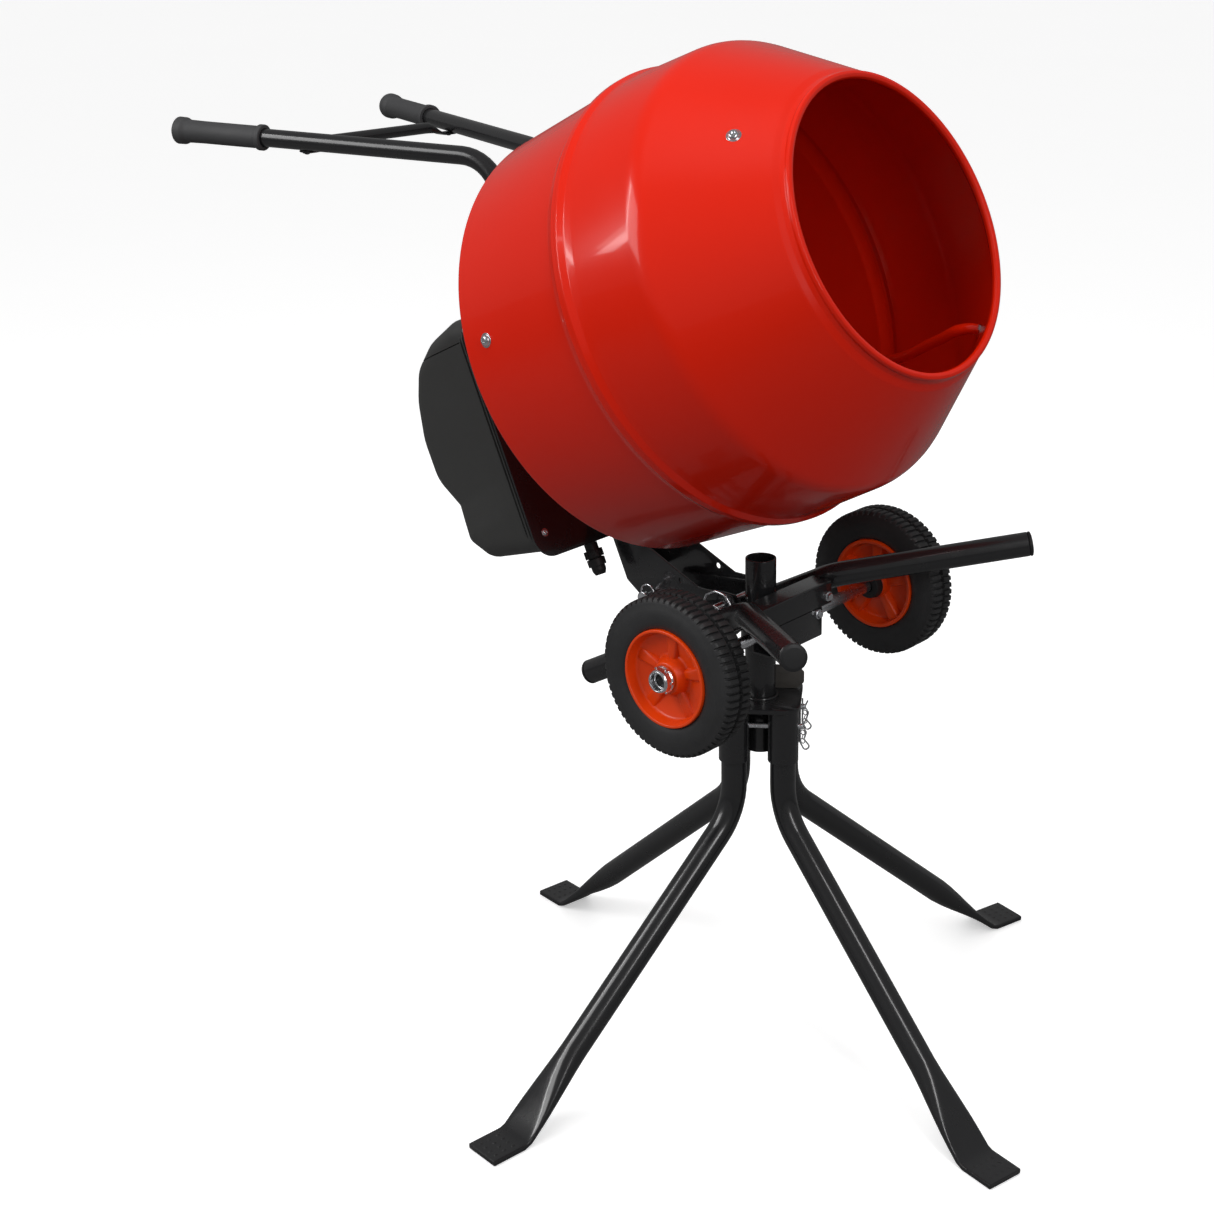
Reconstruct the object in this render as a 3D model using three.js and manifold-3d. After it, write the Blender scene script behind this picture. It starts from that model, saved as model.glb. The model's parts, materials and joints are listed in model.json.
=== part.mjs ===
// Portable electric concrete mixer: tipping drum on a two-wheeled trolley that
// drops over the post of a four-legged stand.  Millimetres, +Z up.
// The mixer is laid out with the stand's post on the Z axis, the drum's mouth
// towards +X and the left-hand wheel towards +Y; the whole assembly is then
// moved so that the origin is the middle of its footprint on the ground.
import * as THREE from 'three';
import { mergeVertices } from 'three/addons/utils/BufferGeometryUtils.js';
import Module from 'manifold-3d';

const wasm = await Module();
wasm.setup();

// ---------- driving dimensions ----------
const GAP = 0.35; // clearance between pieces that touch
const BORE_GAP = 0.8; // clearance of a faceted rod in a faceted bore
const DRUM_FACETS = 36; // facets round the drum
const FINE = 24; // facets round a wheel, pulley or post
const ROUND = 12; // facets round a pin, tube or knob

const POST = { radius: 20, wall: 2.5, bottom: 398, top: 660 };
const HEAD = { turn: -10.5, plateZ: 466, plateT: 6, half: 54, corner: 22 };
const BACK_PLATE = { half: 56, height: 32, thick: 4, corner: 8 };
const SOCKET = { offset: 45, radius: 20, bore: 17.6, bottom: 394 };
const LEG = {
  radius: 16.8, wall: 2.2, bendCorner: 321, bendRadius: 85, slope: 0.857,
  footReach: 468, footHalfWidth: 26, footHalfThick: 3.5, boreEnd: 120,
  turns: { front_right: -13, back_left: 171, front_left: -97.5, back_right: 74.5 },
  // Up the splayed run from the foot: [distance, half width, half thickness, squareness].
  squash: [
    [4, 26, 3.6, 7], [28, 25.4, 5, 5], [58, 23.4, 9, 3], [90, 19.6, 14, 2.3], [122, 16.8, 16.8, 2],
  ],
};
const PIN = { radius: 4, z: 442, past: 26 };
const SLEEVE = { radius: 25.4, bore: 20.6, bottom: 549, top: 592 };
const STOP_RING = { radius: 24, height: 8 };

const WHEEL = { radius: 100, y: 214, tread: 40, rimHalf: 25, rimRadius: 61, hubRadius: 19 };
const AXLE = { radius: 8, x: 41, z: 580, half: 247 };
const BEAM = { half: 73, front: 59, back: 27, top: 622, bottom: 592, wall: 3 };
const SADDLE = { half: 52, front: 60, back: 27.5, top: 591.4, bottom: 552, wall: 3 };
const SIDE_TUBE = {
  radius: 16, wall: 2, bend: 45,
  front: [244, 251, 664], knee: [48, 90.5, 622], rear: [-198, 108, 487],
};

const END_CAP = { plug: 14, rim: 3, height: 5 };
const TILT = { x: -28.5, z: 600, pinRadius: 6, pinNear: -60, pinFar: 52, head: 6 };
const LOCK = { x: -148, z: 588, radius: 5, tip: -33.5 };
const CHEEK = { inner: 25.8, thick: 3, back: -172, front: -10, top: 612, bottom: 558 };

const DRUM = {
  lift: 24.8, rearX: -218, rearZ: 917, wall: 2.5,
  rearRadius: 284, beadX: 197, beadRadius: 296, bowlEndRadius: 289.5,
  creaseX: 326, creaseRadius: 282, mouthX: 465, mouthRadius: 187.5, rollRadius: 5,
};
// The mixing bars: [along the axis, from the axis, degrees round it] from the back.
const BAR = {
  radius: 7, bend: 22, turns: { a: 229, b: 49 },
  path: [[43, 268, 34], [62, 225, 34], [240, 228, 4], [380, 205, 0], [404, 208, 0]],
};
const SHAFT = { radius: 12, rear: -146, front: 18 };
const PLATE = { x: -118, thick: 3, half: 172, top: 96, bottom: -238, corner: 30 };
const GEAR = { radius: 80, pinion: 11, x0: -140, x1: -127 };
const PULLEY = { radius: 81, motor: 11, x0: -206, x1: -194, belt: 3.5 };
const LAYSHAFT = { z: -(GEAR.radius + GEAR.pinion + 0.6), radius: 7 };
const MOTOR = { y: -85, z: -136, radius: 38, shaft: 5 };
const HOUSING = { half: 168, wall: 3, draft: 16, splitZ: 62 };
const CARRIER = { inner: 36, thick: 3 };
const BRACE = { radius: 8, along: 0.585, rise: 22, past: 6 };
const HANDLE = {
  radius: 12.5, wall: 1.8, bend: 62, gripRadius: 15.5, gripLength: 138, flange: 19.2,
  end: [-884, 194, 1152],
};
const SWITCH = { x: -205, y: 177, z: -62, depth: 26, width: 44, height: 74, buttonRadius: 10 };

// ---------- materials ----------
const material = (color, roughness, metalness = 0) =>
  new THREE.MeshStandardMaterial({ color, roughness, metalness });
const RED = material(0xc81e0f, 0.22, 0.1);
const BLACK = material(0x1a1a1a, 0.3, 0.3);
const PLASTIC = material(0x3c3c3a, 0.5);
const RUBBER = material(0x262626, 0.8);
const GRIP = material(0x4b4b4b, 0.75);
const ORANGE = material(0xbe2300, 0.45);
const ZINC = material(0xb8bbbf, 0.3, 0.9);
const STEEL = material(0x8f9296, 0.4, 0.9);
const GREEN = material(0x1f7a35, 0.4);

// ---------- solids ----------
const X_AXIS = new THREE.Vector3(1, 0, 0);
const Y_AXIS = new THREE.Vector3(0, 1, 0);
const Z_AXIS = new THREE.Vector3(0, 0, 1);
const vec = (p) => new THREE.Vector3(...p);
const rad = THREE.MathUtils.degToRad;

// Turns a closed mesh's faces outwards, whichever way its profile was drawn.
function outward(geometry) {
  const mesh = geometry.index ? geometry.toNonIndexed() : geometry;
  const p = mesh.attributes.position;
  const corner = (i) => new THREE.Vector3().fromBufferAttribute(p, i);
  let volume = 0;
  for (let i = 0; i < p.count; i += 3) {
    volume += corner(i).dot(corner(i + 1).cross(corner(i + 2)));
  }
  if (volume >= 0) return geometry;
  for (let i = 0; i < p.count; i += 3) {
    const [b, c] = [corner(i + 1), corner(i + 2)];
    p.setXYZ(i + 1, c.x, c.y, c.z);
    p.setXYZ(i + 2, b.x, b.y, b.z);
  }
  mesh.deleteAttribute('uv');
  mesh.computeVertexNormals();
  return mesh;
}

function toSolid(geometry) {
  const bare = geometry.clone();
  bare.deleteAttribute('normal');
  bare.deleteAttribute('uv');
  const merged = mergeVertices(bare, 1e-4);
  const kept = [];
  const index = merged.index.array;
  for (let i = 0; i < index.length; i += 3) {
    const [a, b, c] = [index[i], index[i + 1], index[i + 2]];
    if (a !== b && b !== c && a !== c) kept.push(a, b, c);
  }
  const vertProperties = new Float32Array(merged.attributes.position.array);
  const triVerts = new Uint32Array(kept);
  return new wasm.Manifold(new wasm.Mesh({ numProp: 3, vertProperties, triVerts }));
}

function toGeometry(solid) {
  const mesh = solid.getMesh();
  const geometry = new THREE.BufferGeometry();
  geometry.setAttribute('position', new THREE.BufferAttribute(mesh.vertProperties, 3));
  geometry.setIndex(new THREE.BufferAttribute(mesh.triVerts, 1));
  geometry.computeVertexNormals();
  return geometry;
}

const cut = (geometry, ...tools) =>
  toGeometry(tools.reduce((solid, tool) => solid.subtract(toSolid(tool)), toSolid(geometry)));
const fuse = (geometry, ...others) =>
  toGeometry(others.reduce((solid, other) => solid.add(toSolid(other)), toSolid(geometry)));
const keep = (geometry, region) => toGeometry(toSolid(geometry).intersect(toSolid(region)));

function box(min, max) {
  const size = vec(max).sub(vec(min));
  const middle = vec(max).add(vec(min)).multiplyScalar(0.5);
  return new THREE.BoxGeometry(size.x, size.y, size.z).translate(middle.x, middle.y, middle.z);
}

// A cylinder between two points.
function rod(from, to, radius, facets = ROUND) {
  const [a, b] = [vec(from), vec(to)];
  const along = b.clone().sub(a);
  const geometry = new THREE.CylinderGeometry(radius, radius, along.length(), facets);
  geometry.applyQuaternion(new THREE.Quaternion().setFromUnitVectors(Y_AXIS, along.normalize()));
  const middle = a.add(b).multiplyScalar(0.5);
  return geometry.translate(middle.x, middle.y, middle.z);
}

// A turned piece: [radius, height] points, turned about the given axis.
function turned(profile, axis, facets = FINE, closed = false) {
  const points = profile.map(([r, h]) => new THREE.Vector2(r, h));
  if (closed) points.push(points[0].clone());
  const geometry = new THREE.LatheGeometry(points, facets);
  return outward(geometry.applyQuaternion(new THREE.Quaternion().setFromUnitVectors(Y_AXIS, axis)));
}

// A ring or sleeve about the given axis.
const ring = (inner, outer, low, high, axis, facets = ROUND) =>
  turned([[inner, low], [outer, low], [outer, high], [inner, high]], axis, facets, true);

// A flat plate: an outline in X and Z, with a thickness along Y.
function plateXZ(outline, y0, y1) {
  const shape = new THREE.Shape(outline.map(([x, z]) => new THREE.Vector2(x, z)));
  const geometry = new THREE.ExtrudeGeometry(shape, { depth: y1 - y0, bevelEnabled: false });
  return geometry.rotateX(Math.PI / 2).translate(0, y1, 0);
}

// A rounded rectangle in X and Y, with a thickness along Z.
function roundedPlate(halfX, halfY, corner, z0, z1) {
  const shape = new THREE.Shape();
  const corners = [[1, 1, 0], [-1, 1, 90], [-1, -1, 180], [1, -1, 270]];
  for (const [sx, sy, start] of corners) {
    const centre = [sx * (halfX - corner), sy * (halfY - corner)];
    shape.absarc(...centre, corner, rad(start), rad(start + 90));
  }
  const settings = { depth: z1 - z0, bevelEnabled: false, curveSegments: 4 };
  return new THREE.ExtrudeGeometry(shape, settings).translate(0, 0, z0);
}

// A path with exact stations: straight runs take one step, bends take several.
class StationCurve extends THREE.Curve {
  constructor(stations) {
    super();
    this.stations = stations;
    this.last = stations.length - 1;
  }

  getPointAt(u) {
    return this.stations[Math.round(u * this.last)].clone();
  }

  getTangentAt(u) {
    const i = Math.round(u * this.last);
    const sum = new THREE.Vector3();
    for (const j of [i, i + 1]) {
      if (j < 1 || j > this.last) continue;
      sum.add(this.stations[j].clone().sub(this.stations[j - 1]).normalize());
    }
    return sum.normalize();
  }
}

// Rounds each inner corner of a polyline with an arc of the bend radius.
function bentStations(corners, bend, steps = 5) {
  const points = corners.map(vec);
  const stations = [points[0]];
  for (let i = 1; i < points.length - 1; i++) {
    const back = points[i - 1].clone().sub(points[i]).normalize();
    const ahead = points[i + 1].clone().sub(points[i]).normalize();
    const half = back.angleTo(ahead) / 2;
    const start = points[i].clone().addScaledVector(back, bend / Math.tan(half));
    const towards = back.clone().add(ahead).normalize();
    const centre = points[i].clone().addScaledVector(towards, bend / Math.sin(half));
    const spoke = start.clone().sub(centre);
    const axis = new THREE.Vector3().crossVectors(back.clone().negate(), ahead).normalize();
    for (let k = 0; k <= steps; k++) {
      const angle = (Math.PI - 2 * half) * (k / steps);
      stations.push(centre.clone().add(spoke.clone().applyAxisAngle(axis, angle)));
    }
  }
  stations.push(points[points.length - 1]);
  return stations;
}

function circleShape(radius, inner = 0) {
  const shape = new THREE.Shape();
  shape.absarc(0, 0, radius, 0, Math.PI * 2);
  if (inner > 0) {
    const hole = new THREE.Path();
    hole.absarc(0, 0, inner, 0, Math.PI * 2, true);
    shape.holes.push(hole);
  }
  return shape;
}

function bentTube(corners, bend, radius, wall = 0, curveSegments = ROUND / 2) {
  const path = new StationCurve(bentStations(corners, bend));
  const settings = { steps: path.last, curveSegments, extrudePath: path };
  return outward(new THREE.ExtrudeGeometry(circleShape(radius, wall ? radius - wall : 0), settings));
}

// A closed skin through rings of points, with flat ends.
function loft(rings) {
  const count = rings[0].length;
  const positions = [];
  const index = [];
  rings.forEach((loop) => loop.forEach((p) => positions.push(p.x, p.y, p.z)));
  for (let i = 0; i + 1 < rings.length; i++) {
    for (let k = 0; k < count; k++) {
      const [a, b] = [i * count + k, i * count + ((k + 1) % count)];
      index.push(a, b, a + count, b, b + count, a + count);
    }
  }
  const addEnd = (first, flip) => {
    for (let k = 1; k + 1 < count; k++) {
      index.push(first, first + (flip ? k + 1 : k), first + (flip ? k : k + 1));
    }
  };
  addEnd(0, true);
  addEnd((rings.length - 1) * count, false);
  const geometry = new THREE.BufferGeometry();
  geometry.setAttribute('position', new THREE.Float32BufferAttribute(positions, 3));
  geometry.setIndex(index);
  return outward(geometry);
}

function piece(name, geometry, look, parent) {
  const mesh = new THREE.Mesh(geometry, look);
  mesh.name = name;
  parent.add(mesh);
  return mesh;
}

function place(group, position, axis, degrees, parent) {
  group.position.set(...position);
  group.quaternion.setFromAxisAngle(axis, rad(degrees));
  parent.add(group);
  return group;
}

function polar(radius, degrees, z) {
  return [radius * Math.cos(rad(degrees)), radius * Math.sin(rad(degrees)), z];
}

const mixer = new THREE.Group();

// ---------- stand ----------
// One leg in its own X-Z plane: a tube that hangs down in its socket, splays
// outwards, and ends squashed into a flat foot.
function legRings(facets = ROUND) {
  const across = (x, z, tilt, half, thick, power, scale = 1) => {
    const loop = [];
    const up = new THREE.Vector3(-Math.sin(tilt), 0, Math.cos(tilt));
    for (let k = 0; k < facets; k++) {
      const a = (k / facets) * Math.PI * 2;
      const c = Math.sign(Math.cos(a)) * Math.abs(Math.cos(a)) ** (2 / power);
      const s = Math.sign(Math.sin(a)) * Math.abs(Math.sin(a)) ** (2 / power);
      const point = new THREE.Vector3(x, half * c * scale, z);
      loop.push(point.addScaledVector(up, thick * s * scale));
    }
    return loop;
  };
  const splay = Math.atan(LEG.slope);
  const kneeX = SOCKET.offset + (LEG.bendCorner - LEG.footHalfThick) / LEG.slope;
  const onSplay = (distance) => [
    kneeX - distance * Math.cos(splay),
    LEG.footHalfThick + distance * Math.sin(splay),
  ];
  const flat = [LEG.footHalfWidth, LEG.footHalfThick];
  const rings = [across(LEG.footReach, LEG.footHalfThick, 0, ...flat, 9)];
  rings.push(across(kneeX + 3, LEG.footHalfThick, 0, ...flat, 9));
  for (const [distance, half, thick, power] of LEG.squash) {
    rings.push(across(...onSplay(distance), -splay, half, thick, power));
  }
  const bendEnd = Math.tan((Math.PI / 2 - splay) / 2) * LEG.bendRadius;
  const centre = [SOCKET.offset + LEG.bendRadius, LEG.bendCorner + bendEnd];
  const bendSteps = 4;
  const tubeRings = (scale) => {
    const set = [];
    for (let k = 0; k <= bendSteps; k++) {
      const angle = (Math.PI / 2 - splay) * (1 - k / bendSteps);
      const x = centre[0] - LEG.bendRadius * Math.cos(angle);
      const z = centre[1] - LEG.bendRadius * Math.sin(angle);
      set.push(across(x, z, -(Math.PI / 2 - angle), LEG.radius, LEG.radius, 2, scale));
    }
    const top = HEAD.plateZ - 2 * GAP;
    set.push(across(SOCKET.offset, top, -Math.PI / 2, LEG.radius, LEG.radius, 2, scale));
    return set;
  };
  rings.push(...tubeRings(1));
  const bore = (LEG.radius - LEG.wall) / LEG.radius;
  rings.push(...tubeRings(bore).reverse());
  rings.push(across(...onSplay(LEG.boreEnd + 60), -splay, LEG.radius, LEG.radius, 2, bore));
  return rings;
}

// The two ends of a leg pin: it crosses both sockets of a pair.
function pinLine(angleA, angleB) {
  const a = vec(polar(SOCKET.offset, angleA, PIN.z));
  const b = vec(polar(SOCKET.offset, angleB, PIN.z));
  const along = b.clone().sub(a).normalize();
  const ends = [a.addScaledVector(along, -PIN.past), b.addScaledVector(along, PIN.past)];
  return ends.map((p) => p.toArray());
}

const socketTurns = {
  front_right: HEAD.turn,
  back_right: HEAD.turn + 90,
  back_left: HEAD.turn + 180,
  front_left: HEAD.turn - 90,
};
const pinLines = {
  front: pinLine(socketTurns.front_left, socketTurns.front_right),
  back: pinLine(socketTurns.back_left, socketTurns.back_right),
};

function addStand() {
  const boreTools = Object.values(pinLines).map(([a, b]) => rod(a, b, PIN.radius + 0.5, ROUND));
  const post = ring(POST.radius - POST.wall, POST.radius, POST.bottom, POST.top, Z_AXIS, FINE);
  piece('stand_post', post, BLACK, mixer);

  const plate = roundedPlate(HEAD.half, HEAD.half, HEAD.corner, HEAD.plateZ, HEAD.plateZ + HEAD.plateT);
  const head = cut(plate, rod([0, 0, 400], [0, 0, 500], POST.radius + GAP, FINE));
  piece('stand_head_plate', head, BLACK, mixer).rotation.z = rad(HEAD.turn + 45);

  // The upright plate behind the post, which stiffens the head.
  const { half, height, thick, corner } = BACK_PLATE;
  const back = roundedPlate(half, height / 2, corner, 0, thick);
  back.rotateX(Math.PI / 2).rotateZ(rad(HEAD.turn + 45));
  const middle = HEAD.plateZ + HEAD.plateT + height / 2 + GAP;
  const behind = polar(POST.radius + thick + GAP, HEAD.turn + 135, middle);
  piece('stand_back_plate', back.translate(...behind), BLACK, mixer);

  const stopTop = SLEEVE.bottom - GAP;
  const stopBottom = stopTop - STOP_RING.height;
  const stop = ring(POST.radius + GAP, STOP_RING.radius, stopBottom, stopTop, Z_AXIS, FINE);
  piece('swivel_stop_ring', stop, BLACK, mixer);

  for (const [name, turn] of Object.entries(socketTurns)) {
    const socket = ring(SOCKET.bore, SOCKET.radius, SOCKET.bottom, HEAD.plateZ - GAP, Z_AXIS, ROUND);
    socket.translate(...polar(SOCKET.offset, turn, 0));
    piece(`leg_socket_${name}`, cut(socket, ...boreTools), BLACK, mixer);
  }
  for (const [name, turn] of Object.entries(LEG.turns)) {
    const [sx, sy] = polar(SOCKET.offset, socketTurns[name], 0);
    const leg = loft(legRings()).translate(-SOCKET.offset, 0, 0);
    leg.rotateZ(rad(turn)).translate(sx, sy, 0);
    piece(`leg_${name}`, cut(leg, ...boreTools), BLACK, mixer);
  }
  for (const [name, [a, b]] of Object.entries(pinLines)) {
    piece(`leg_pin_${name}`, rod(a, b, PIN.radius, ROUND), ZINC, mixer);
  }
}

// ---------- trolley ----------
function addTrolley() {
  const sleeve = ring(SLEEVE.bore, SLEEVE.radius, SLEEVE.bottom, SLEEVE.top, Z_AXIS, FINE);
  piece('swivel_sleeve', sleeve, BLACK, mixer);

  const beam = box([BEAM.back, -BEAM.half, BEAM.bottom], [BEAM.front, BEAM.half, BEAM.top]);
  const inside = box(
    [BEAM.back + BEAM.wall, -BEAM.half - 1, BEAM.bottom - 1],
    [BEAM.front - BEAM.wall, BEAM.half + 1, BEAM.top - BEAM.wall],
  );
  piece('cross_beam', cut(beam, inside), BLACK, mixer);

  const saddle = box(
    [SADDLE.back, -SADDLE.half, SADDLE.bottom],
    [SADDLE.front, SADDLE.half, SADDLE.top],
  );
  const channel = box(
    [SADDLE.back + SADDLE.wall, -SADDLE.half - 1, SADDLE.bottom + SADDLE.wall],
    [SADDLE.front - SADDLE.wall, SADDLE.half + 1, SADDLE.top + 1],
  );
  piece('axle_saddle', cut(saddle, channel), BLACK, mixer);
  const axleEnds = [-AXLE.half, AXLE.half].map((y) => [AXLE.x, y, AXLE.z]);
  piece('axle', rod(...axleEnds, AXLE.radius), STEEL, mixer);

  for (const [side, s] of [['left', 1], ['right', -1]]) {
    const mirror = ([x, y, z]) => [x, s * y, z];
    const corners = [SIDE_TUBE.front, SIDE_TUBE.knee, SIDE_TUBE.rear].map(mirror);
    const tube = bentTube(corners, SIDE_TUBE.bend, SIDE_TUBE.radius, SIDE_TUBE.wall);
    piece(`side_tube_${side}`, tube, BLACK, mixer);
    const ends = { arm: [corners[1], corners[0]], foot: [corners[1], corners[2]] };
    for (const [end, [from, to]] of Object.entries(ends)) {
      piece(`${end}_cap_${side}`, endCap(from, to), RUBBER, mixer);
    }
  }
  addTiltBracket();
}

// A push-in plug that closes the end of a side tube.
function endCap(from, to) {
  const along = vec(to).sub(vec(from)).normalize();
  const bore = SIDE_TUBE.radius - SIDE_TUBE.wall - BORE_GAP;
  const { radius } = SIDE_TUBE;
  const { plug, rim, height } = END_CAP;
  const profile = [
    [0, -plug], [bore, -plug], [bore, GAP], [radius, GAP], [radius, rim], [radius - 2, height], [0, height],
  ];
  return turned(profile, along, ROUND).translate(...to);
}

function addTiltBracket() {
  const outline = [
    [CHEEK.back, CHEEK.bottom], [CHEEK.front - 8, CHEEK.bottom], [CHEEK.front, CHEEK.bottom + 8],
    [CHEEK.front, CHEEK.top - 10], [CHEEK.front - 10, CHEEK.top], [TILT.x - 14, CHEEK.top],
    [LOCK.x, CHEEK.top - 12], [CHEEK.back, CHEEK.top - 20],
  ];
  const outer = CHEEK.inner + CHEEK.thick;
  const floorFront = -POST.radius - 8;
  const floorTop = CHEEK.bottom + CHEEK.thick;
  const floor = box([CHEEK.back, -outer, CHEEK.bottom], [floorFront, outer, floorTop]);
  const cheeks = [plateXZ(outline, -outer, -CHEEK.inner), plateXZ(outline, CHEEK.inner, outer)];
  const bracket = cut(
    fuse(floor, ...cheeks),
    rod([TILT.x, -50, TILT.z], [TILT.x, 50, TILT.z], TILT.pinRadius + 0.5),
    rod([LOCK.x, -50, LOCK.z], [LOCK.x, 0, LOCK.z], LOCK.radius + 0.6),
  );
  piece('tilt_bracket', bracket, BLACK, mixer);
  piece('tilt_pivot_pin', tiltPin(), ZINC, mixer);
}

// The pivot pin: a rod with a head at its far end.
function tiltPin() {
  const { pinRadius: radius, pinNear: near, pinFar: far, head } = TILT;
  const profile = [
    [0, near], [radius - 1, near], [radius, near + 1], [radius, far - head],
    [radius + 4, far - head], [radius + 4, far], [0, far],
  ];
  return turned(profile, Y_AXIS, ROUND).translate(TILT.x, 0, TILT.z);
}

// ---------- wheels ----------
// Radius and width points of a tyre with a centre groove and rounded shoulders.
function tyreProfile() {
  const half = WHEEL.tread / 2;
  const bead = WHEEL.rimRadius;
  return [
    [bead + 1, -half - 1], [bead + 8, -half - 3.5], [bead + 22, -half - 4], [WHEEL.radius - 6, -half - 2],
    [WHEEL.radius, -half + 2], [WHEEL.radius, -3], [WHEEL.radius - 5, -2], [WHEEL.radius - 5, 2],
    [WHEEL.radius, 3], [WHEEL.radius, half - 2], [WHEEL.radius - 6, half + 2], [bead + 22, half + 4],
    [bead + 8, half + 3.5], [bead + 1, half + 1],
  ];
}

// A moulded rim: barrel, web and hub in one, seen from outside (+height).
function rimProfile() {
  const barrel = WHEEL.rimRadius;
  const bore = AXLE.radius + 0.4;
  return [
    [bore, -WHEEL.rimHalf], [WHEEL.hubRadius, -WHEEL.rimHalf], [WHEEL.hubRadius + 1, -6],
    [barrel - 6, -6], [barrel - 5, -WHEEL.rimHalf + 1], [barrel, -WHEEL.rimHalf],
    [barrel + 0.6, -WHEEL.tread / 2 - 1], [barrel + 0.6, WHEEL.tread / 2 + 1], [barrel, WHEEL.rimHalf],
    [barrel - 4, WHEEL.rimHalf], [barrel - 6, 8], [WHEEL.hubRadius + 3, 4], [WHEEL.hubRadius, WHEEL.rimHalf - 3],
    [bore, WHEEL.rimHalf - 3],
  ];
}

function addWheels() {
  for (const [side, s] of [['left', 1], ['right', -1]]) {
    const wheel = new THREE.Group();
    wheel.position.set(AXLE.x, s * WHEEL.y, AXLE.z);
    mixer.add(wheel);
    const out = new THREE.Vector3(0, s, 0);
    piece(`tyre_${side}`, turned(tyreProfile(), out, FINE, true), RUBBER, wheel);
    const ribs = [];
    for (let k = 0; k < 5; k++) {
      const [low, high] = s > 0 ? [3, 15] : [-15, -3];
      const rib = box([WHEEL.hubRadius - 4, low, -3], [WHEEL.rimRadius - 3, high, 3]);
      ribs.push(rib.rotateY(rad(72 * k)));
    }
    const disc = turned(rimProfile(), out, FINE, true);
    piece(`rim_${side}`, fuse(disc, ...ribs), ORANGE, wheel);
    const outer = AXLE.half - WHEEL.y;
    const seat = WHEEL.rimHalf - 2.6;
    const bore = AXLE.radius + 0.4;
    const cap = [
      [0, outer + 4], [9, outer + 4], [15, outer], [15, seat],
      [bore, seat], [bore, outer + 0.4], [0, outer + 0.4],
    ];
    piece(`hub_cap_${side}`, turned(cap, out, ROUND), ZINC, wheel);
  }
}

// ---------- tipping unit ----------
// Its pieces are laid out on the drum's own axis: X forward along the axis from
// the drum's rear edge, Z square to it and away from the ground.
const tipping = place(new THREE.Group(), [DRUM.rearX, 0, DRUM.rearZ], Y_AXIS, -DRUM.lift, mixer);

// A point of the level frame, given in the drum's own frame.
function onDrum([x, y, z]) {
  const point = new THREE.Vector3(x - DRUM.rearX, y, z - DRUM.rearZ);
  return point.applyAxisAngle(Y_AXIS, rad(DRUM.lift)).toArray();
}

// The bowl's wall: its outside from the hub to the seam, then its inside back again.
function bowlProfile() {
  const { wall: t, rearRadius: rear, bowlEndRadius: end, beadRadius: bead, beadX: seam } = DRUM;
  const hub = SHAFT.radius + GAP;
  return [
    [hub, 8], [110, 8], [150, 2], [rear - 12, 0], [rear - 3, 2], [rear, 6],
    [end, seam - 16], [bead - 2, seam - 9], [bead, seam - 4],
    [bead, seam - GAP / 2], [bead - t, seam - GAP / 2],
    [bead - t, seam - 5], [end - t, seam - 14], [rear - t, 8],
    [rear - 13, t], [150, 2 + t], [110, 8 + t], [hub, 8 + t],
  ];
}

// The cone's wall: its outside from the seam to the rolled mouth, then its inside.
function coneProfile() {
  const { wall: t, rollRadius: roll, beadRadius: bead, beadX: seam } = DRUM;
  const { creaseRadius: crease, creaseX, mouthRadius: mouth, mouthX } = DRUM;
  const points = [
    [bead, seam + GAP / 2], [bead, seam + 4], [bead - 4, seam + 12], [bead - 6, seam + 20],
    [crease + 2, creaseX - 12], [crease - 5, creaseX + 3], [crease - 14, creaseX + 14],
    [mouth + 6, mouthX - 16], [mouth - roll + 2, mouthX - 10],
  ];
  const rollSteps = 5;
  for (let k = 0; k <= rollSteps; k++) {
    const a = rad(-60 + (210 * k) / rollSteps);
    points.push([mouth - roll + roll * Math.cos(a), mouthX - roll + roll * Math.sin(a)]);
  }
  points.push(
    [mouth - 2 * roll, mouthX - 10], [mouth + 4, mouthX - 18],
    [crease - 16, creaseX + 12], [crease - 8, creaseX + 2], [crease - 1, creaseX - 12],
    [bead - 6 - t, seam + 20], [bead - t, seam + 5], [bead - t, seam + GAP / 2],
  );
  return points;
}

function addDrum() {
  piece('drum_bowl', turned(bowlProfile(), X_AXIS, DRUM_FACETS, true), RED, tipping);
  piece('drum_cone', turned(coneProfile(), X_AXIS, DRUM_FACETS, true), RED, tipping);
  const flange = [[SHAFT.radius + GAP, 11], [62, 11], [62, 16], [30, 18], [SHAFT.radius + GAP, 26]];
  piece('drum_hub_flange', turned(flange, X_AXIS, FINE, true), BLACK, tipping);
  piece('drum_shaft', rod([SHAFT.rear, 0, 0], [SHAFT.front, 0, 0], SHAFT.radius, ROUND), STEEL, tipping);
  const gear = ring(SHAFT.radius + GAP, GEAR.radius, GEAR.x0, GEAR.x1, X_AXIS, FINE);
  piece('drum_gear', gear, STEEL, tipping);
  for (const [name, turn] of Object.entries(BAR.turns)) {
    piece(`mixing_bar_${name}`, mixingBar(turn), RED, tipping);
  }
}

// A bar from the back of the bowl to just inside the mouth, winding round the axis.
function mixingBar(turn) {
  const stations = BAR.path.map(([x, radius, wind]) => {
    const angle = rad(turn + wind);
    return [x, -Math.sin(angle) * radius, Math.cos(angle) * radius];
  });
  return bentTube(stations, BAR.bend, BAR.radius, 0, 4);
}

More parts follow.
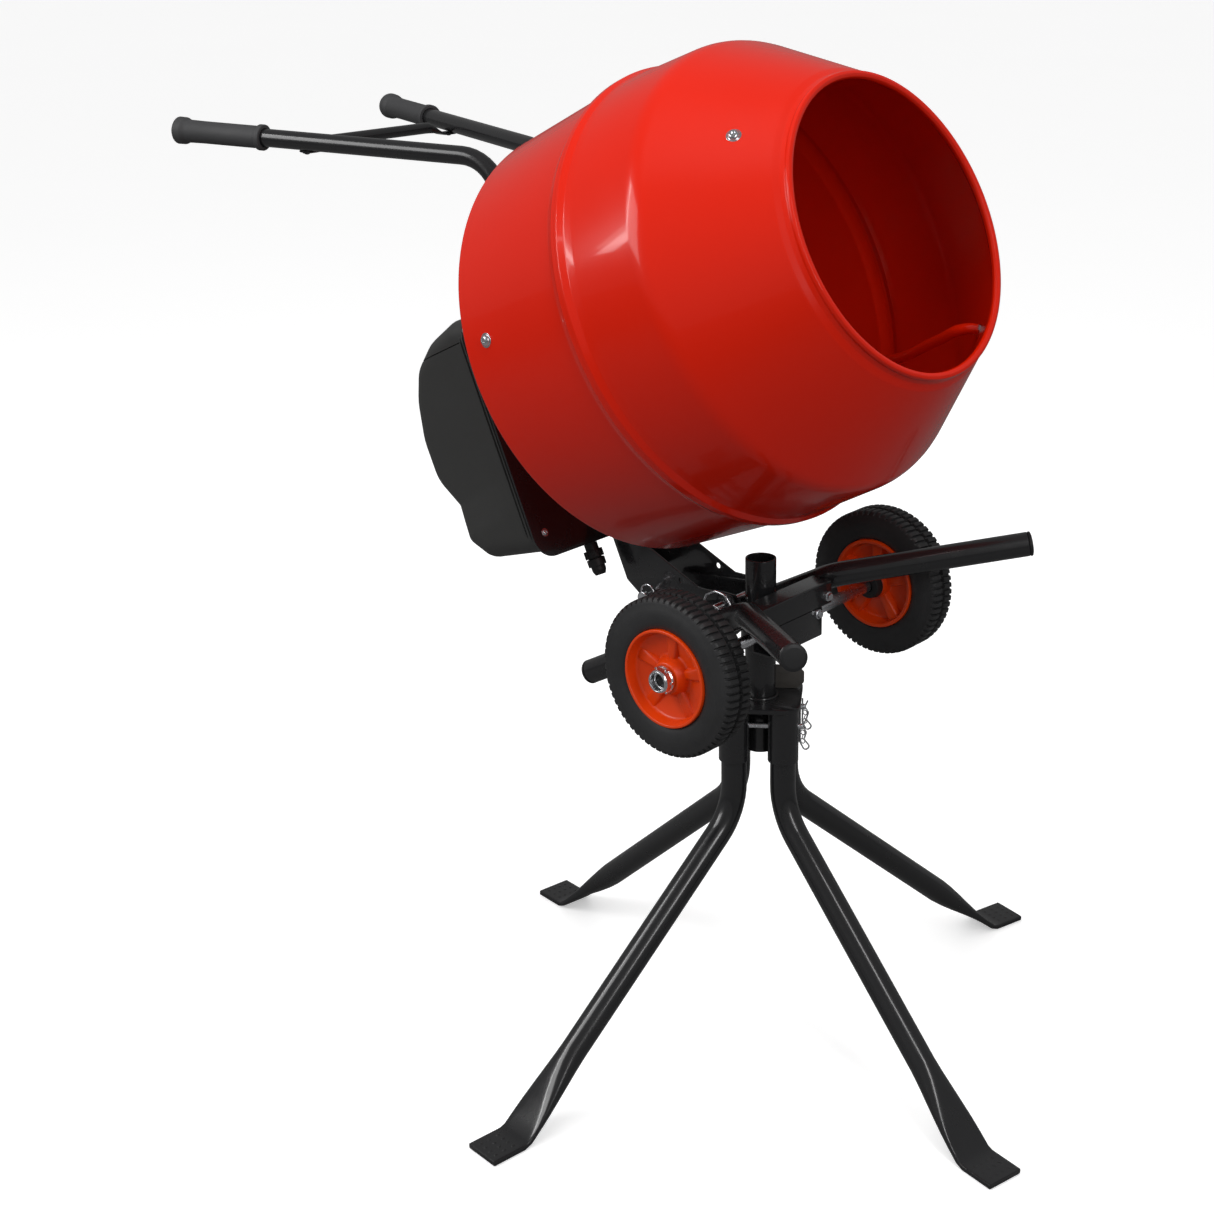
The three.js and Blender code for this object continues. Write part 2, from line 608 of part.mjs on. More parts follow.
function addDrive() {
  const bore = SHAFT.radius + GAP;
  const onPlate = PLATE.x + PLATE.thick + GAP;
  const seat = [[bore, onPlate], [38, onPlate], [38, -106], [30, -100], [26, -12], [bore, -12]];
  piece('bearing_housing', turned(seat, X_AXIS, FINE, true), BLACK, tipping);
  const lay = new THREE.Group();
  lay.position.set(0, 0, LAYSHAFT.z);
  tipping.add(lay);
  const layBore = LAYSHAFT.radius + GAP;
  const pinion = ring(layBore, GEAR.pinion, GEAR.x0, GEAR.x1, X_AXIS, ROUND);
  piece('layshaft_pinion', pinion, STEEL, lay);
  const layEnds = [PULLEY.x0 - 4, PLATE.x - 2].map((x) => [x, 0, 0]);
  piece('layshaft', rod(...layEnds, LAYSHAFT.radius, ROUND), STEEL, lay);
  const pulley = ring(layBore, PULLEY.radius, PULLEY.x0, PULLEY.x1, X_AXIS, FINE);
  piece('layshaft_pulley', pulley, BLACK, lay);

  const motor = new THREE.Group();
  motor.position.set(0, MOTOR.y, MOTOR.z);
  tipping.add(motor);
  const back = PULLEY.x1 + 4;
  const motorBore = MOTOR.shaft + 0.6;
  const front = PLATE.x - 1;
  const body = [
    [motorBore, back], [22, back], [MOTOR.radius, back + 10], [MOTOR.radius, front], [motorBore, front],
  ];
  piece('motor', turned(body, X_AXIS, FINE, true), STEEL, motor);
  const rotor = fuse(
    rod([PULLEY.x0 - 3, 0, 0], [PLATE.x - 10, 0, 0], MOTOR.shaft, ROUND),
    rod([PULLEY.x0, 0, 0], [PULLEY.x1, 0, 0], PULLEY.motor, ROUND),
  );
  piece('motor_rotor', rotor, STEEL, motor);
  piece('drive_belt', beltLoop(), RUBBER, tipping);
}

// The outline that wraps two circles, as a shape in the drum's Y-Z plane.
function wrapShape(grow) {
  const big = { c: new THREE.Vector2(0, LAYSHAFT.z), r: PULLEY.radius + grow };
  const small = { c: new THREE.Vector2(MOTOR.y, MOTOR.z), r: PULLEY.motor + grow };
  const between = small.c.clone().sub(big.c);
  const heading = between.angle();
  const spread = Math.acos((big.r - small.r) / between.length());
  const points = [];
  const addArc = (circle, from, to, steps) => {
    const radius = circle.r / Math.cos((to - from) / (2 * steps));
    for (let k = 0; k <= steps; k++) {
      const a = from + ((to - from) * k) / steps;
      points.push(new THREE.Vector2(radius * Math.cos(a), radius * Math.sin(a)).add(circle.c));
    }
  };
  addArc(big, heading + spread, heading + Math.PI * 2 - spread, 16);
  addArc(small, heading - spread, heading + spread, 5);
  return points;
}

function beltLoop() {
  const shape = new THREE.Shape(wrapShape(GAP + PULLEY.belt));
  shape.holes.push(new THREE.Path(wrapShape(GAP).reverse()));
  const settings = { depth: PULLEY.x1 - PULLEY.x0 - 2, bevelEnabled: false };
  const band = new THREE.ExtrudeGeometry(shape, settings);
  // Shape X becomes Y, shape Y becomes Z and the depth becomes X.
  band.applyMatrix4(new THREE.Matrix4().makeBasis(Y_AXIS, Z_AXIS, X_AXIS));
  return band.translate(PULLEY.x0 + 1, 0, 0);
}

// Side view of the motor cover: X along the drum's axis, Z square to it.
const coverOutline = (inset) => [
  [PLATE.x - GAP, PLATE.top - 6 - inset], [-150, PLATE.top - 2 - inset], [-208 + inset / 2, 82 - inset],
  [-252 + inset, 58 - inset / 2], [-277 + inset, 19], [-293 + inset, -35], [-292 + inset, -95],
  [-263 + inset, -138], [-252 + inset, -188 + inset / 2], [-224 + inset / 2, -216 + inset],
  [PLATE.x - GAP, PLATE.bottom + 8 + inset],
];

// The cover's block: its sides lean in towards the back.
function coverBlock(inset) {
  const half = HOUSING.half - inset;
  const slab = plateXZ(coverOutline(inset), -half, half);
  const front = PLATE.x + 5;
  const back = -300;
  const narrow = half - HOUSING.draft;
  const corner = 40;
  const planSide = [[front, half], [back + corner, narrow], [back, narrow - corner + 6]];
  const otherSide = planSide.map(([x, y]) => [x, -y]).reverse();
  const plan = new THREE.Shape([...planSide, ...otherSide].map(([x, y]) => new THREE.Vector2(x, y)));
  const prism = new THREE.ExtrudeGeometry(plan, { depth: 400, bevelEnabled: false });
  prism.translate(0, 0, -270);
  return keep(slab, prism);
}

function addCovers() {
  const half = HOUSING.half - 4;
  const mouth = box([PLATE.x - 2, -half, PLATE.bottom + 13], [PLATE.x + 3, half, PLATE.top - 12]);
  const shell = cut(coverBlock(0), fuse(coverBlock(HOUSING.wall), mouth));
  const far = 400;
  const lower = box([-far, -far, -far], [far, far, HOUSING.splitZ - GAP / 2]);
  const upper = box([-far, -far, HOUSING.splitZ + GAP / 2], [far, far, far]);
  piece('motor_cover', keep(shell, lower), PLASTIC, tipping);
  piece('motor_cover_top', keep(shell, upper), PLASTIC, tipping);
}

function addCarrier() {
  // The sheet that closes the motor cover and carries the drive.
  const middle = (PLATE.top + PLATE.bottom) / 2;
  const sheet = roundedPlate((PLATE.top - PLATE.bottom) / 2, PLATE.half, PLATE.corner, 0, PLATE.thick);
  sheet.rotateY(Math.PI / 2).translate(PLATE.x, 0, middle);
  const shaftHole = rod([-140, 0, 0], [-100, 0, 0], SHAFT.radius + 2);
  piece('drive_plate', cut(sheet, shaftHole), BLACK, tipping);

  // Folded channel under the drum: two tapered cheeks joined by a rear web.
  const pivot = onDrum([TILT.x, 0, TILT.z]);
  const lock = onDrum([LOCK.x, 0, LOCK.z]);
  const cheek = [
    [-114, -150], [-92, -150], [-62, -262], [4, -336],
    [pivot[0] + 16, pivot[2] + 8], [pivot[0] + 17, pivot[2] - 8],
    [pivot[0] + 4, pivot[2] - 17], [lock[0] - 16, lock[2] - 12], [-114, -300],
  ];
  const outer = CARRIER.inner + CARRIER.thick;
  const cheeks = [plateXZ(cheek, -outer, -CARRIER.inner), plateXZ(cheek, CARRIER.inner, outer)];
  const web = box([-114, -outer, -300], [-114 + CARRIER.thick, outer, -150]);
  const carrier = cut(
    fuse(web, ...cheeks),
    rod([pivot[0], -60, pivot[2]], [pivot[0], 60, pivot[2]], TILT.pinRadius + 0.5),
    rod([lock[0], -60, lock[2]], [lock[0], 0, lock[2]], LOCK.radius + 0.6),
    rod([-20, 0, -322], [-20, 60, -322], 4, 12),
  );
  piece('drum_carrier', carrier, BLACK, tipping);

  const knob = [[0, 0], [LOCK.radius, 0], [LOCK.radius, 22], [9, 22], [9, 30], [0, 30]];
  const lockPin = turned(knob, new THREE.Vector3(0, -1, 0), ROUND);
  lockPin.translate(lock[0], LOCK.tip, lock[2]);
  piece('tilt_lock_pin', lockPin, ZINC, tipping);

  const under = PLATE.bottom;
  const gland = [
    [0, under - 44], [10, under - 44], [13, under - 34], [13, under - 20],
    [9, under - 16], [9, under - GAP], [0, under - GAP],
  ];
  piece('cable_gland', turned(gland, Z_AXIS, ROUND).translate(-130, -66, 0), RUBBER, tipping);
}

function addHandles() {
  const knee = [-88, 51, 285];
  const foot = [PLATE.x + PLATE.thick + HANDLE.radius + GAP, 66, -60];
  for (const [side, s] of [['left', 1], ['right', -1]]) {
    const flip = ([x, y, z]) => [x, s * y, z];
    const end = flip(onDrum(HANDLE.end));
    const corners = [end, flip(knee), flip(foot)];
    piece(`handle_${side}`, bentTube(corners, HANDLE.bend, HANDLE.radius, HANDLE.wall), BLACK, tipping);
    const along = vec(end).sub(vec(corners[1])).normalize();
    const r = HANDLE.radius + BORE_GAP;
    const g = HANDLE.gripRadius;
    const low = -HANDLE.gripLength;
    const { flange } = HANDLE;
    const profile = [
      [r, low], [g + 2.5, low], [g + 2.5, low + 7], [g, low + 9], [g, -14],
      [flange, -10], [flange, 3], [flange - 3, 6], [0, 6], [0, GAP], [r, GAP],
    ];
    piece(`grip_${side}`, turned(profile, along, ROUND, true).translate(...end), GRIP, tipping);
  }
  addBrace(knee);
}

// The arched tie between the handles, hung from under both.
function addBrace(knee) {
  const seat = vec(knee).lerp(vec(onDrum(HANDLE.end)), BRACE.along);
  const up = vec(onDrum([DRUM.rearX, 0, DRUM.rearZ + 1]));
  seat.addScaledVector(up, -(HANDLE.radius + BRACE.radius + GAP));
  const half = seat.y;
  const at = (y, rise) => new THREE.Vector3(seat.x, y, seat.z).addScaledVector(up, rise).toArray();
  const corners = [
    at(-half - BRACE.past, 0), at(-half + 16, 0), at(-half + 44, BRACE.rise),
    at(half - 44, BRACE.rise), at(half - 16, 0), at(half + BRACE.past, 0),
  ];
  piece('handle_brace', bentTube(corners, 20, BRACE.radius), BLACK, tipping);
}

function addSwitch() {
  const { x, y, z, depth, width, height, buttonRadius } = SWITCH;
  const body = box([x - width / 2, y, z - height / 2], [x + width / 2, y + depth, z + height / 2]);
  const places = { start_button: [z + height / 4, GREEN], stop_button: [z - height / 4, RED] };
  const pocket = (at) => rod([x, y + depth - 12, at], [x, y + depth + 1, at], buttonRadius + 0.5);
  const pockets = Object.values(places).map(([at]) => pocket(at));
  piece('switch_box', cut(body, ...pockets), PLASTIC, tipping);
  for (const [name, [at, look]] of Object.entries(places)) {
    const button = rod([x, y + depth - 6, at], [x, y + depth + 4, at], buttonRadius, ROUND);
    piece(name, button, look, tipping);
  }
}

addStand();
addTrolley();
addWheels();
addDrum();
addDrive();
addCovers();
addCarrier();
addHandles();
addSwitch();

// The origin is the middle of the footprint of the whole mixer, on the ground.
const assembly = new THREE.Group();
assembly.add(mixer);
assembly.updateMatrixWorld(true);
const extent = new THREE.Box3().setFromObject(assembly, true);
const middle = extent.getCenter(new THREE.Vector3());
mixer.position.set(-middle.x, -middle.y, -extent.min.z);

export default assembly;
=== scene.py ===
"""Looks of the concrete mixer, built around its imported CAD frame. Metres, +Z up."""

import json
import math

import bmesh
import bpy
from mathutils import Matrix, Vector


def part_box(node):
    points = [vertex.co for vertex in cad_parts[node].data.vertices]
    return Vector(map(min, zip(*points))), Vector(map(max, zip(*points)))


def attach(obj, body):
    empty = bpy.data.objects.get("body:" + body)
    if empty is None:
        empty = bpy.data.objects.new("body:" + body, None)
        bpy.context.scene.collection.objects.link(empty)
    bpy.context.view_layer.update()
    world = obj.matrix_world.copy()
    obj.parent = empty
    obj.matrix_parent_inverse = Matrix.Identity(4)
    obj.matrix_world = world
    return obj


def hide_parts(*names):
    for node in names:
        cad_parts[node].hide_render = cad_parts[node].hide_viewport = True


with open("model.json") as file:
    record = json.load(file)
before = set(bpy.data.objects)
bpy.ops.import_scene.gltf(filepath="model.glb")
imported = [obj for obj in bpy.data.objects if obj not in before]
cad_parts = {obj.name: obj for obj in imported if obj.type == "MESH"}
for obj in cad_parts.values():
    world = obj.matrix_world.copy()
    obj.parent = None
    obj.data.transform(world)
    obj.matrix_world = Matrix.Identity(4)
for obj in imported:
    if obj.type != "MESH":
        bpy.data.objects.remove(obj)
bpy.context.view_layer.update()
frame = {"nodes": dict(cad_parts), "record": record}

# ---------- frames ----------
MM = 0.001
POST_LOW, POST_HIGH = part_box("stand_post")
POST_MIDDLE = (POST_LOW + POST_HIGH) / 2
# The mixer's own layout, in millimetres, has the stand's post on its Z axis.
MIXER = Matrix.Translation((POST_MIDDLE.x, POST_MIDDLE.y, 0)) @ Matrix.Scale(MM, 4)
DRUM_LIFT = math.radians(24.8)
DRUM_REAR = Matrix.Translation((-218, 0, 917)) @ Matrix.Rotation(-DRUM_LIFT, 4, "Y")
# The tipping unit's layout: X forward along the drum's axis from its rear edge.
TIPPING = MIXER @ DRUM_REAR
X, Y, Z = Vector((1, 0, 0)), Vector((0, 1, 0)), Vector((0, 0, 1))


def move(x, y, z):
    return Matrix.Translation((x, y, z))


def turn(degrees, axis):
    return Matrix.Rotation(math.radians(degrees), 4, axis)


def facing(origin, direction):
    """Puts local Z along a direction, at an origin."""
    return move(*origin) @ Vector(direction).to_track_quat("Z", "Y").to_matrix().to_4x4()


def on_drum(point):
    """A point of the mixer's layout, in the tipping unit's layout."""
    return DRUM_REAR.inverted() @ Vector(point)


def polar(radius, degrees, z=0.0):
    """A point at a radius and an angle about Z."""
    angle = math.radians(degrees)
    return Vector((radius * math.cos(angle), radius * math.sin(angle), z))


# Stands a sheet drawn in X and Y up in X and Z; its thickness then runs towards -Y.
UPRIGHT = turn(90, "X")


# ---------- shapes ----------
def fillet(points, radii, closed=False, degrees=9.0):
    """A polyline with each corner rounded to its radius."""
    points = [Vector(p) for p in points]
    count = len(points)
    result = []
    for i, point in enumerate(points):
        at_end = not closed and i in (0, count - 1)
        back = points[i - 1] - point
        ahead = points[(i + 1) % count] - point
        room = 0.48 * min(back.length, ahead.length)
        if at_end or radii[i] <= 0 or room < 1e-6:
            result.append(point)
            continue
        back.normalize()
        ahead.normalize()
        half = back.angle(ahead) / 2
        if half > math.radians(89):
            result.append(point)
            continue
        reach = min(radii[i] / math.tan(half), room)
        centre = point + (back + ahead).normalized() * (reach / math.cos(half))
        first = point + back * reach - centre
        last = point + ahead * reach - centre
        sweep_angle = math.pi - 2 * half
        steps = max(2, math.ceil(math.degrees(sweep_angle) / degrees))
        for k in range(steps + 1):
            t = k / steps
            a = math.sin((1 - t) * sweep_angle) / math.sin(sweep_angle)
            b = math.sin(t * sweep_angle) / math.sin(sweep_angle)
            result.append(centre + first * a + last * b)
    return result


def skin(rings, closed=False):
    """A skin over rings of points; a ring of one point is a tip."""
    bm = bmesh.new()
    loops = [[bm.verts.new(p) for p in ring] for ring in rings]
    pairs = list(zip(loops, loops[1:]))
    if closed:
        pairs.append((loops[-1], loops[0]))
    for a, b in pairs:
        count = max(len(a), len(b))
        for k in range(count):
            corners = [a[k % len(a)], a[(k + 1) % len(a)], b[(k + 1) % len(b)], b[k % len(b)]]
            unique = list(dict.fromkeys(corners))
            if len(unique) > 2:
                bm.faces.new(unique)
    if not closed:
        for loop in (loops[0], loops[-1]):
            if len(loop) > 2:
                bm.faces.new(loop)
    return bm


def turned(profile, segments=96):
    """A piece turned about Z, from (radius, height[, fillet]) points."""
    corners = [(p[0], p[1], 0) for p in profile]
    radii = [p[2] if len(p) > 2 else 0 for p in profile]
    closed = profile[0][0] > 0
    rings = []
    for p in fillet(corners, radii, closed):
        if p.x < 1e-6:
            rings.append([Vector((0, 0, p.y))])
            continue
        rings.append([polar(p.x, 360 * k / segments, p.y) for k in range(segments)])
    return skin(rings, closed)


def superellipse(centre, across, up, half, thick, power, segments):
    """A ring that goes from an ellipse (power 2) towards a rectangle."""
    loop = []
    for k in range(segments):
        angle = math.tau * k / segments
        c, s = math.cos(angle), math.sin(angle)
        c = math.copysign(abs(c) ** (2 / power), c)
        s = math.copysign(abs(s) ** (2 / power), s)
        loop.append(centre + across * (half * c) + up * (thick * s))
    return loop


def plane_normal(path):
    """The normal of the plane that a bent path lies in."""
    for a, b, c in zip(path, path[1:], path[2:]):
        normal = (b - a).cross(c - b)
        if normal.length > 1e-3 * (b - a).length * (c - b).length:
            return normal.normalized()
    return (path[-1] - path[0]).orthogonal().normalized()


def sweep(points, radius, bend=0.0, wall=0.0, closed=False, segments=28, lip=0.6, section=None):
    """A rod, tube or closed ring along a flat path. section gives (half width along the
    path's normal, half thickness, squareness) at a distance from the path's start."""
    path = fillet(points, [bend] * len(points))
    normal = plane_normal(path)
    if not closed:
        first = path[0] + (path[1] - path[0]).normalized() * lip
        last = path[-1] + (path[-2] - path[-1]).normalized() * lip
        path = [path[0], first, *path[1:-1], last, path[-1]]
    count = len(path)
    travelled = 0.0
    rings = []
    for i, point in enumerate(path):
        before = path[i - 1] if closed or i else point
        after = path[(i + 1) % count] if closed or i + 1 < count else point
        tangent = ((after - point).normalized() + (point - before).normalized()).normalized()
        if i:
            travelled += (point - path[i - 1]).length
        half, thick, power = section(travelled) if section else (radius, radius, 2)
        at_lip = not closed and i in (0, count - 1)
        shrink = lip if at_lip else 0.0
        rings.append((point, tangent, half - shrink, thick - shrink, power))
    up = [normal.cross(r[1]).normalized() for r in rings]
    outer = [
        superellipse(p, normal, u, h, t, w, segments) for (p, _, h, t, w), u in zip(rings, up)
    ]
    if not wall:
        return skin(outer, closed)
    inner = [
        superellipse(p, normal, u, radius - wall, radius - wall, 2, segments)
        for (p, _, _, _, _), u in zip(rings, up)
    ]
    return skin(outer + inner[::-1], True)


def plate(outline, thickness, holes=(), corner=0.0, bevel=0.5):
    """A flat sheet drawn in X and Y, with its thickness from 0 along Z and eased edges.
    holes are (x, y, radius)."""
    radii = corner if isinstance(corner, (list, tuple)) else [corner] * len(outline)
    loops = [fillet([(x, y, 0) for x, y in outline], radii, True)]
    for x, y, radius in holes:
        loops.append([Vector((x, y, 0)) + polar(radius, -15 * k) for k in range(24)])
    curve = bpy.data.curves.new("plate", "CURVE")
    curve.dimensions = "2D"
    curve.fill_mode = "BOTH"
    curve.extrude = thickness / 2 - bevel
    curve.bevel_depth = bevel
    curve.bevel_resolution = 1
    curve.offset = -bevel
    for loop in loops:
        spline = curve.splines.new("POLY")
        spline.use_cyclic_u = True
        spline.points.add(len(loop) - 1)
        for at, p in zip(spline.points, loop):
            at.co = (p.x, p.y, 0, 1)
    holder = bpy.data.objects.new("plate", curve)
    bpy.context.scene.collection.objects.link(holder)
    graph = bpy.context.evaluated_depsgraph_get()
    mesh = bpy.data.meshes.new_from_object(holder.evaluated_get(graph))
    bpy.data.objects.remove(holder)
    bpy.data.curves.remove(curve)
    bm = bmesh.new()
    bm.from_mesh(mesh)
    bpy.data.meshes.remove(mesh)
    bmesh.ops.remove_doubles(bm, verts=bm.verts, dist=0.01)
    bm.transform(move(0, 0, thickness / 2))
    return bm


def block(low, high, bevel=0.8, segments=2):
    """A box with eased edges."""
    bm = bmesh.new()
    bmesh.ops.create_cube(bm, size=1)
    low, high = Vector(low), Vector(high)
    size = high - low
    bm.transform(Matrix.Translation((low + high) / 2) @ Matrix.Diagonal((*size, 1)))
    bmesh.ops.bevel(
        bm, geom=bm.edges[:], offset=bevel, segments=segments, affect="EDGES", profile=0.5
    )
    return bm


WEDGE_FACES = ((0, 1, 3, 2), (4, 6, 7, 5), (0, 4, 5, 1), (2, 3, 7, 6), (0, 2, 6, 4), (1, 5, 7, 3))


def wedge(near, far, low, high, slope, bevel):
    """A rib along X, from near (x, half width) to far, with a narrower top."""
    bm = bmesh.new()
    verts = []
    for z, inset in ((low, 0), (high, slope)):
        for x, half in (near, far):
            for side in (-1, 1):
                verts.append(bm.verts.new((x, side * (half - inset), z)))
    for face in WEDGE_FACES:
        bm.faces.new([verts[k] for k in face])
    bmesh.ops.bevel(bm, geom=bm.edges[:], offset=bevel, segments=2, affect="EDGES", profile=0.5)
    return bm


class Shape:
    """Collects parts, in the millimetres of a base frame, into one piece."""

    def __init__(self, base):
        self.base = base
        self.bm = bmesh.new()

    def add(self, part, local=None):
        part.transform(self.base @ (local or Matrix.Identity(4)))
        mesh = bpy.data.meshes.new("part")
        bmesh.ops.recalc_face_normals(part, faces=part.faces)
        part.to_mesh(mesh)
        part.free()
        self.bm.from_mesh(mesh)
        bpy.data.meshes.remove(mesh)

    def piece(self, name, body, slot, look=None, replaces=(), sharp=38):
        """Makes the object, and hangs it on its body in the frame."""
        mesh = bpy.data.meshes.new(name)
        self.bm.to_mesh(mesh)
        self.bm.free()
        mesh.shade_smooth()
        mesh.set_sharp_from_angle(angle=math.radians(sharp))
        mesh.materials.append(LOOKS[look or slot])
        obj = bpy.data.objects.new(name, mesh)
        bpy.context.scene.collection.objects.link(obj)
        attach(obj, body)
        if replaces:
            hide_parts(*replaces)


def dome_bolt(shape, at, direction, radius, height, washer):
    """A round-headed screw with a socket, on its washer."""
    local = facing(at, direction)
    shape.add(turned([(0, -2), (washer, -2), (washer, 0.6, 0.4), (0, 0.6)], 32), local)
    head = [(0, height - 1.6), (radius * 0.36, height - 1.6), (radius * 0.36, height + 0.4, 0.2),
            (radius * 0.7, height, 2.5), (radius, height * 0.45, 2), (radius, 0.5), (0, 0.5)]
    shape.add(turned(head, 32), local)


def hex_bolt(shape, at, direction, across, height, twist=0.0):
    """A hexagon head on its washer."""
    local = facing(at, direction) @ turn(twist, "Z")
    radius = across / 2 / math.cos(math.pi / 6)
    washer = radius * 1.25
    shape.add(turned([(0, -1), (washer, -1), (washer, 1.2, 0.4), (0, 1.2)], 32), local)
    head = [(0, 1.1), (radius, 1.1), (radius, height - 1), (radius * 0.86, height), (0, height)]
    shape.add(turned(head, 6), local)


# ---------- materials ----------
def finish(name, color, roughness, metallic=0.0, coat=0.0, shade=0.1, patch=5.0,
           grain=700.0, bump=0.06, spread=0.04, stretch=(1, 1, 1), shine=0.5):
    """A procedural finish: patches of tone (shade, patch), uneven gloss (spread) and a fine
    relief (grain, bump). patch and grain are noise scales per metre."""
    material = bpy.data.materials.new(name)
    material.use_nodes = True
    tree = material.node_tree
    shader = tree.nodes["Principled BSDF"]
    shader.inputs["Metallic"].default_value = metallic
    shader.inputs["Coat Weight"].default_value = coat
    shader.inputs["Specular IOR Level"].default_value = shine
    shader.inputs["Coat Roughness"].default_value = 0.05
    where = tree.nodes.new("ShaderNodeTexCoord")
    mapping = tree.nodes.new("ShaderNodeMapping")
    mapping.inputs["Scale"].default_value = stretch
    tree.links.new(where.outputs["Object"], mapping.inputs["Vector"])

    def noise(scale, detail):
        node = tree.nodes.new("ShaderNodeTexNoise")
        node.inputs["Scale"].default_value = scale
        node.inputs["Detail"].default_value = detail
        tree.links.new(mapping.outputs["Vector"], node.inputs["Vector"])
        return node.outputs[0]

    patches = noise(patch, 4)
    ramp = tree.nodes.new("ShaderNodeValToRGB")
    for end, at, level in ((0, 0.3, 1 - shade), (1, 0.7, 1 + shade)):
        ramp.color_ramp.elements[end].position = at
        ramp.color_ramp.elements[end].color = (*[min(1, c * level) for c in color], 1)
    tree.links.new(patches, ramp.inputs["Fac"])
    tree.links.new(ramp.outputs["Color"], shader.inputs["Base Color"])
    gloss = tree.nodes.new("ShaderNodeMapRange")
    gloss.inputs["From Min"].default_value = 0.3
    gloss.inputs["From Max"].default_value = 0.7
    gloss.inputs["To Min"].default_value = roughness - spread
    gloss.inputs["To Max"].default_value = roughness + spread
    tree.links.new(noise(patch * 7, 3), gloss.inputs["Value"])
    tree.links.new(gloss.outputs["Result"], shader.inputs["Roughness"])
    relief = tree.nodes.new("ShaderNodeBump")
    relief.inputs["Strength"].default_value = bump
    relief.inputs["Distance"].default_value = 0.001
    tree.links.new(noise(grain, 2), relief.inputs["Height"])
    tree.links.new(relief.outputs["Normal"], shader.inputs["Normal"])
    return material


LOOKS = {
    "red_paint": finish(
        "red_enamel", (0.65, 0.012, 0.001), 0.24, coat=0.33, shade=0.025, patch=3, grain=90,
        bump=0.0008, spread=0.01, shine=0.2),
    "black_paint": finish(
        "black_powder_coat", (0.012, 0.012, 0.013), 0.25, coat=0.5, grain=300, bump=0.006),
    "zinc": finish(
        "zinc_plate", (0.82, 0.83, 0.86), 0.24, metallic=1.0, shade=0.12, patch=60, bump=0.05),
    "steel": finish(
        "turned_steel", (0.7, 0.7, 0.71), 0.32, metallic=1.0, patch=40, bump=0.08,
        stretch=(1, 8, 1)),
    "motor_paint": finish("machine_enamel", (0.1, 0.11, 0.12), 0.4, coat=0.2, grain=300),
    "cap_rubber": finish("cap_rubber", (0.012, 0.012, 0.013), 0.5, grain=900, bump=0.12),
    "tyre": finish(
        "tyre_rubber", (0.021, 0.021, 0.022), 0.5, shade=0.25, patch=14, grain=1100, bump=0.3,
        spread=0.08),
    "rim_plastic": finish(
        "rim_plastic", (0.74, 0.05, 0.0), 0.34, shade=0.06, grain=500, bump=0.05),
    "grip_rubber": finish(
        "grip_foam", (0.045, 0.045, 0.047), 0.62, grain=1500, bump=0.35, spread=0.06),
    "cover_plastic": finish(
        "cover_plastic", (0.032, 0.032, 0.031), 0.42, shade=0.08, grain=900, bump=0.12),
    "start_green": finish("green_button", (0.02, 0.3, 0.06), 0.3, coat=0.4),
    "stop_red": finish("red_button", (0.5, 0.01, 0.01), 0.3, coat=0.4),
    # The stand's back plate: black paint lifted to grey, a painted reflection of the bright room it
    # faces; its patches vary that tone at random.
    "stand_plate": finish(
        "black_with_painted_sheen", (0.055, 0.05, 0.045), 0.42, shade=0.2, patch=30, grain=500, bump=0.1),
}

# ---------- stand ----------
HEAD_TURN = -10.5
SOCKET_OFFSET = 45.0
SOCKET_TURNS = {"front_right": HEAD_TURN, "back_right": HEAD_TURN + 90,
                "back_left": HEAD_TURN + 180, "front_left": HEAD_TURN - 90}
LEG_TURNS = {"front_right": -13.0, "back_left": 171.0, "front_left": -97.5, "back_right": 74.5}


def rectangle(half_x, half_y):
    """Corners of a rectangle about the origin."""
    return [(-half_x, -half_y), (half_x, -half_y), (half_x, half_y), (-half_x, half_y)]


def leg_rings(segments=40):
    """One leg in its own X-Z plane, from its flattened foot up into its socket."""
    radius, bend, corner, slope = 16.8, 85.0, 321.0, 0.857
    splay = math.atan(slope)
    thin = 3.5
    knee = SOCKET_OFFSET + (corner - thin) / slope
    rings = []

    def ring(x, z, tilt, half, thick, power):
        up = Vector((-math.sin(tilt), 0, math.cos(tilt)))
        rings.append(superellipse(Vector((x, 0, z)), Y, up, half, thick, power, segments))

    for x, half, thick in ((468, 25, 2.6), (467.2, 26, 3.5), (430, 26, 3.5), (knee + 5, 26, 3.5)):
        ring(x, thin, 0, half, thick, 12)
    # Along the splayed run: distance, half width, half thickness, squareness.
    squash = [(5, 26, 3.5, 9), (24, 25.8, 4.2, 6), (44, 24.8, 6.2, 4), (64, 22.8, 9.4, 3),
              (84, 20.4, 12.8, 2.5), (104, 18.2, 15.4, 2.15), (124, radius, radius, 2)]
    for distance, half, thick, power in squash:
        x, z = knee - distance * math.cos(splay), thin + distance * math.sin(splay)
        ring(x, z, -splay, half, thick, power)
    rise = math.tan((math.pi / 2 - splay) / 2) * bend
    for k in range(9):
        angle = (math.pi / 2 - splay) * (1 - k / 8)
        x = SOCKET_OFFSET + bend - bend * math.cos(angle)
        z = corner + rise - bend * math.sin(angle)
        ring(x, z, -(math.pi / 2 - angle), radius, radius, 2)
    ring(SOCKET_OFFSET, 465, -math.pi / 2, radius, radius, 2)
    return rings


def pin_line(first, second, z=442.0, past=26.0):
    """The ends of the pin that runs through the sockets at two turns."""
    a, b = polar(SOCKET_OFFSET, first, z), polar(SOCKET_OFFSET, second, z)
    along = (b - a).normalized()
    return a - along * past, b + along * past


def r_clip(shape, centre, direction):
    """A spring clip of bent wire, hanging from a pin's cross hole."""
    local = facing(centre, direction)
    wave = [(0, 12), (0, -4), (0, -22), (6, -34), (13, -28), (5, -18), (8, -8), (3, 0), (7, 9)]
    wire = sweep([Vector((x, y, 0)) for x, y in wave], 1.1, bend=4, segments=12, lip=0.3)
    shape.add(wire, local)


